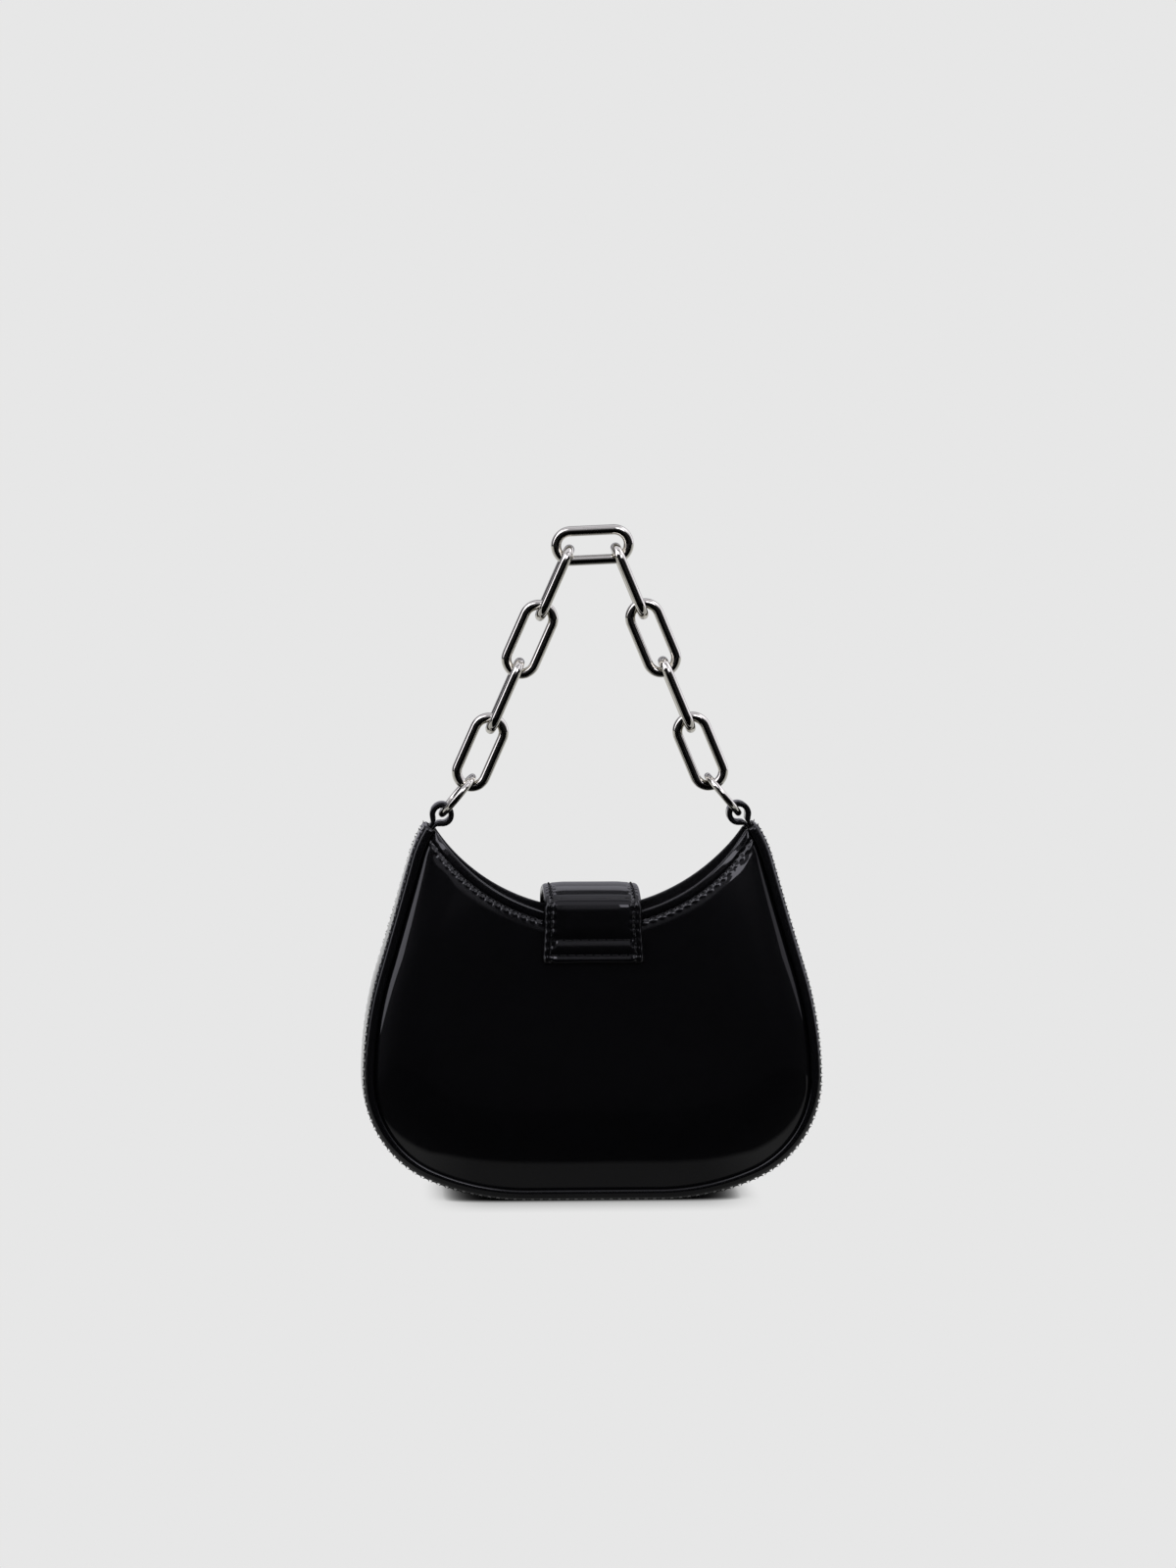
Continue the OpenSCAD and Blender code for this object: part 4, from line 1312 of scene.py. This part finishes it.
class MINIBAG_OT_chain(MiniBagOperator):
    """Adds the nine polished links and the two rings"""

    bl_idname = "mini_bag.chain"
    bl_label = "Chain and rings"

    def execute(self, context):
        c, f = context.scene.mini_bag_chain, finishes()
        body, _ = forms()
        eye_x, eye_z = EyeForm(body, context.scene.mini_bag_loops).at(0, 0)
        out, up = c.ring_radius * math.cos(c.ring_lean), c.ring_radius * math.sin(c.ring_lean)
        ring = self.ring_model(c)
        for name, sign in (("ring_left", -1), ("ring_right", 1)):
            turn = Matrix.Rotation(sign * c.ring_lean, 4, "Y")
            turn.translation = sign * (eye_x - out), 0, eye_z + up
            finished(copies(name + "_metal", ring, [turn], [f["nickel"]]), name, [name])
        link = self.link_model(c)
        for name, turn in self.link_places(c, eye_x - 2 * out, eye_z + 2 * up).items():
            piece = copies(name + "_metal", link, [turn], [f["nickel"]])
            finished(piece, "handle" if name == "link_5" else name, [name])
        for model in (ring, link):
            bpy.data.meshes.remove(model)
        return {"FINISHED"}

    def link_places(self, c, top_x, top_z):
        """Place and turn of each link. Each side is one straight line from its ring's top, at top_x and
        top_z, to a bend of the top link. The line passes the ring's top at a small distance, shift, and the
        top link lies a little off the middle."""
        bend = (c.link_width - c.link_wire) / 2
        straight = c.link_length - c.link_width
        gap, shift, off = 0.4 * MM, 1.3 * MM, 1.0 * MM
        reach = bend - (c.link_wire + c.ring_wire) / 2 - gap
        first = straight / 2 + math.sqrt(reach**2 - shift**2)
        half_pitch = straight / 2 + bend - (c.link_wire + gap) / 2
        whole = first + 6 * half_pitch + straight / 2 + 2 * bend - c.link_wire - gap
        places, tops = {}, {}
        for sign in (-1, 1):
            width = top_x - straight / 2 - sign * off
            a = math.atan(shift / whole) + math.asin(width / math.hypot(whole, shift))

            def along(l):
                across, up = shift * math.cos(a) - l * math.sin(a), shift * math.sin(a) + l * math.cos(a)
                return top_x + across, top_z + up

            tops[sign] = along(whole)[1]
            for k in range(4):
                x, z = along(first + 2 * k * half_pitch)
                turn = Matrix.Translation((sign * x, 0, z)) @ Matrix.Rotation(-sign * a, 4, "Y")
                if k % 2:
                    turn = turn @ Matrix.Rotation(math.pi / 2, 4, "Z")
                places[f"link_{1 + k if sign < 0 else 9 - k}"] = turn
        tilt = math.asin((tops[1] - tops[-1]) / straight)
        middle = Matrix.Translation((off, 0, (tops[1] + tops[-1]) / 2))
        places["link_5"] = middle @ Matrix.Rotation(math.pi / 2 - tilt, 4, "Y")
        return places

    def ring_model(self, c):
        deselect()
        bpy.ops.mesh.primitive_torus_add(
            major_radius=c.ring_radius, minor_radius=c.ring_wire / 2, major_segments=96, minor_segments=32
        )
        return taken(bpy.context.object)

    def link_model(self, c):
        """A round-wire link: half a torus is drawn out straight to the middle and mirrored."""
        straight = c.link_length - c.link_width
        deselect()
        bpy.ops.mesh.primitive_torus_add(
            major_radius=(c.link_width - c.link_wire) / 2,
            minor_radius=c.link_wire / 2,
            major_segments=64,
            minor_segments=32,
            rotation=(math.pi / 2, 0, 0),
        )
        piece = bpy.context.object
        bpy.ops.object.transform_apply(rotation=True)
        bpy.ops.object.mode_set(mode="EDIT")
        bpy.ops.mesh.select_all(action="SELECT")
        bpy.ops.mesh.bisect(plane_co=(0, 0, 0), plane_no=(0, 0, 1), clear_inner=True)
        bpy.ops.mesh.select_all(action="SELECT")
        bpy.ops.transform.translate(value=(0, 0, straight / 2))
        bpy.ops.mesh.select_mode(type="EDGE")
        bpy.ops.mesh.select_all(action="DESELECT")
        bpy.ops.mesh.select_non_manifold(
            extend=False,
            use_wire=False,
            use_boundary=True,
            use_multi_face=False,
            use_non_contiguous=False,
            use_verts=False,
        )
        bpy.ops.mesh.extrude_region_move(TRANSFORM_OT_translate={"value": (0, 0, -straight / 2)})
        bpy.ops.mesh.select_mode(type="VERT")
        bpy.ops.object.mode_set(mode="OBJECT")
        mirror = piece.modifiers.new("mirror", "MIRROR")
        mirror.use_axis = (False, False, True)
        mirror.merge_threshold = 0.02 * MM
        bpy.ops.object.modifier_apply(modifier="mirror")
        bpy.ops.object.mode_set(mode="EDIT")
        bpy.ops.mesh.select_all(action="SELECT")
        bpy.ops.mesh.normals_make_consistent(inside=False)
        bpy.ops.object.mode_set(mode="OBJECT")
        return taken(piece)


class VIEW3D_PT_mini_bag(bpy.types.Panel):
    """Lists the bag's pieces and sizes"""

    bl_label = "Mini bag"
    bl_space_type = "VIEW_3D"
    bl_region_type = "UI"
    bl_category = "Mini bag"

    def draw(self, context):
        for operator in OPERATORS:
            self.layout.operator(operator.bl_idname)
        for name, group in GROUPS:
            box = self.layout.box()
            box.label(text=group.__doc__)
            values = getattr(context.scene, name)
            for key in group.__annotations__:
                box.prop(values, key)


GROUPS = (
    ("mini_bag_body", MiniBagBody),
    ("mini_bag_tab", MiniBagTab),
    ("mini_bag_sewing", MiniBagSewing),
    ("mini_bag_chain", MiniBagChain),
    ("mini_bag_loops", MiniBagLoops),
    ("mini_bag_finish", MiniBagFinish),
    ("mini_bag_stage", MiniBagStage),
)
OPERATORS = (
    MINIBAG_OT_stage,
    MINIBAG_OT_panels,
    MINIBAG_OT_gusset,
    MINIBAG_OT_facings,
    MINIBAG_OT_linings,
    MINIBAG_OT_boards,
    MINIBAG_OT_loops,
    MINIBAG_OT_tab,
    MINIBAG_OT_stitches,
    MINIBAG_OT_chain,
)


def register():
    for name, group in GROUPS:
        bpy.utils.register_class(group)
        setattr(bpy.types.Scene, name, bpy.props.PointerProperty(type=group))
    for operator in OPERATORS:
        bpy.utils.register_class(operator)
    bpy.utils.register_class(VIEW3D_PT_mini_bag)


def unregister():
    bpy.utils.unregister_class(VIEW3D_PT_mini_bag)
    for operator in reversed(OPERATORS):
        bpy.utils.unregister_class(operator)
    for name, group in reversed(GROUPS):
        delattr(bpy.types.Scene, name)
        bpy.utils.unregister_class(group)


def main():
    register()
    for operator in OPERATORS:
        group, name = operator.bl_idname.split(".")
        getattr(getattr(bpy.ops, group), name)()


if __name__ == "__main__":
    main()
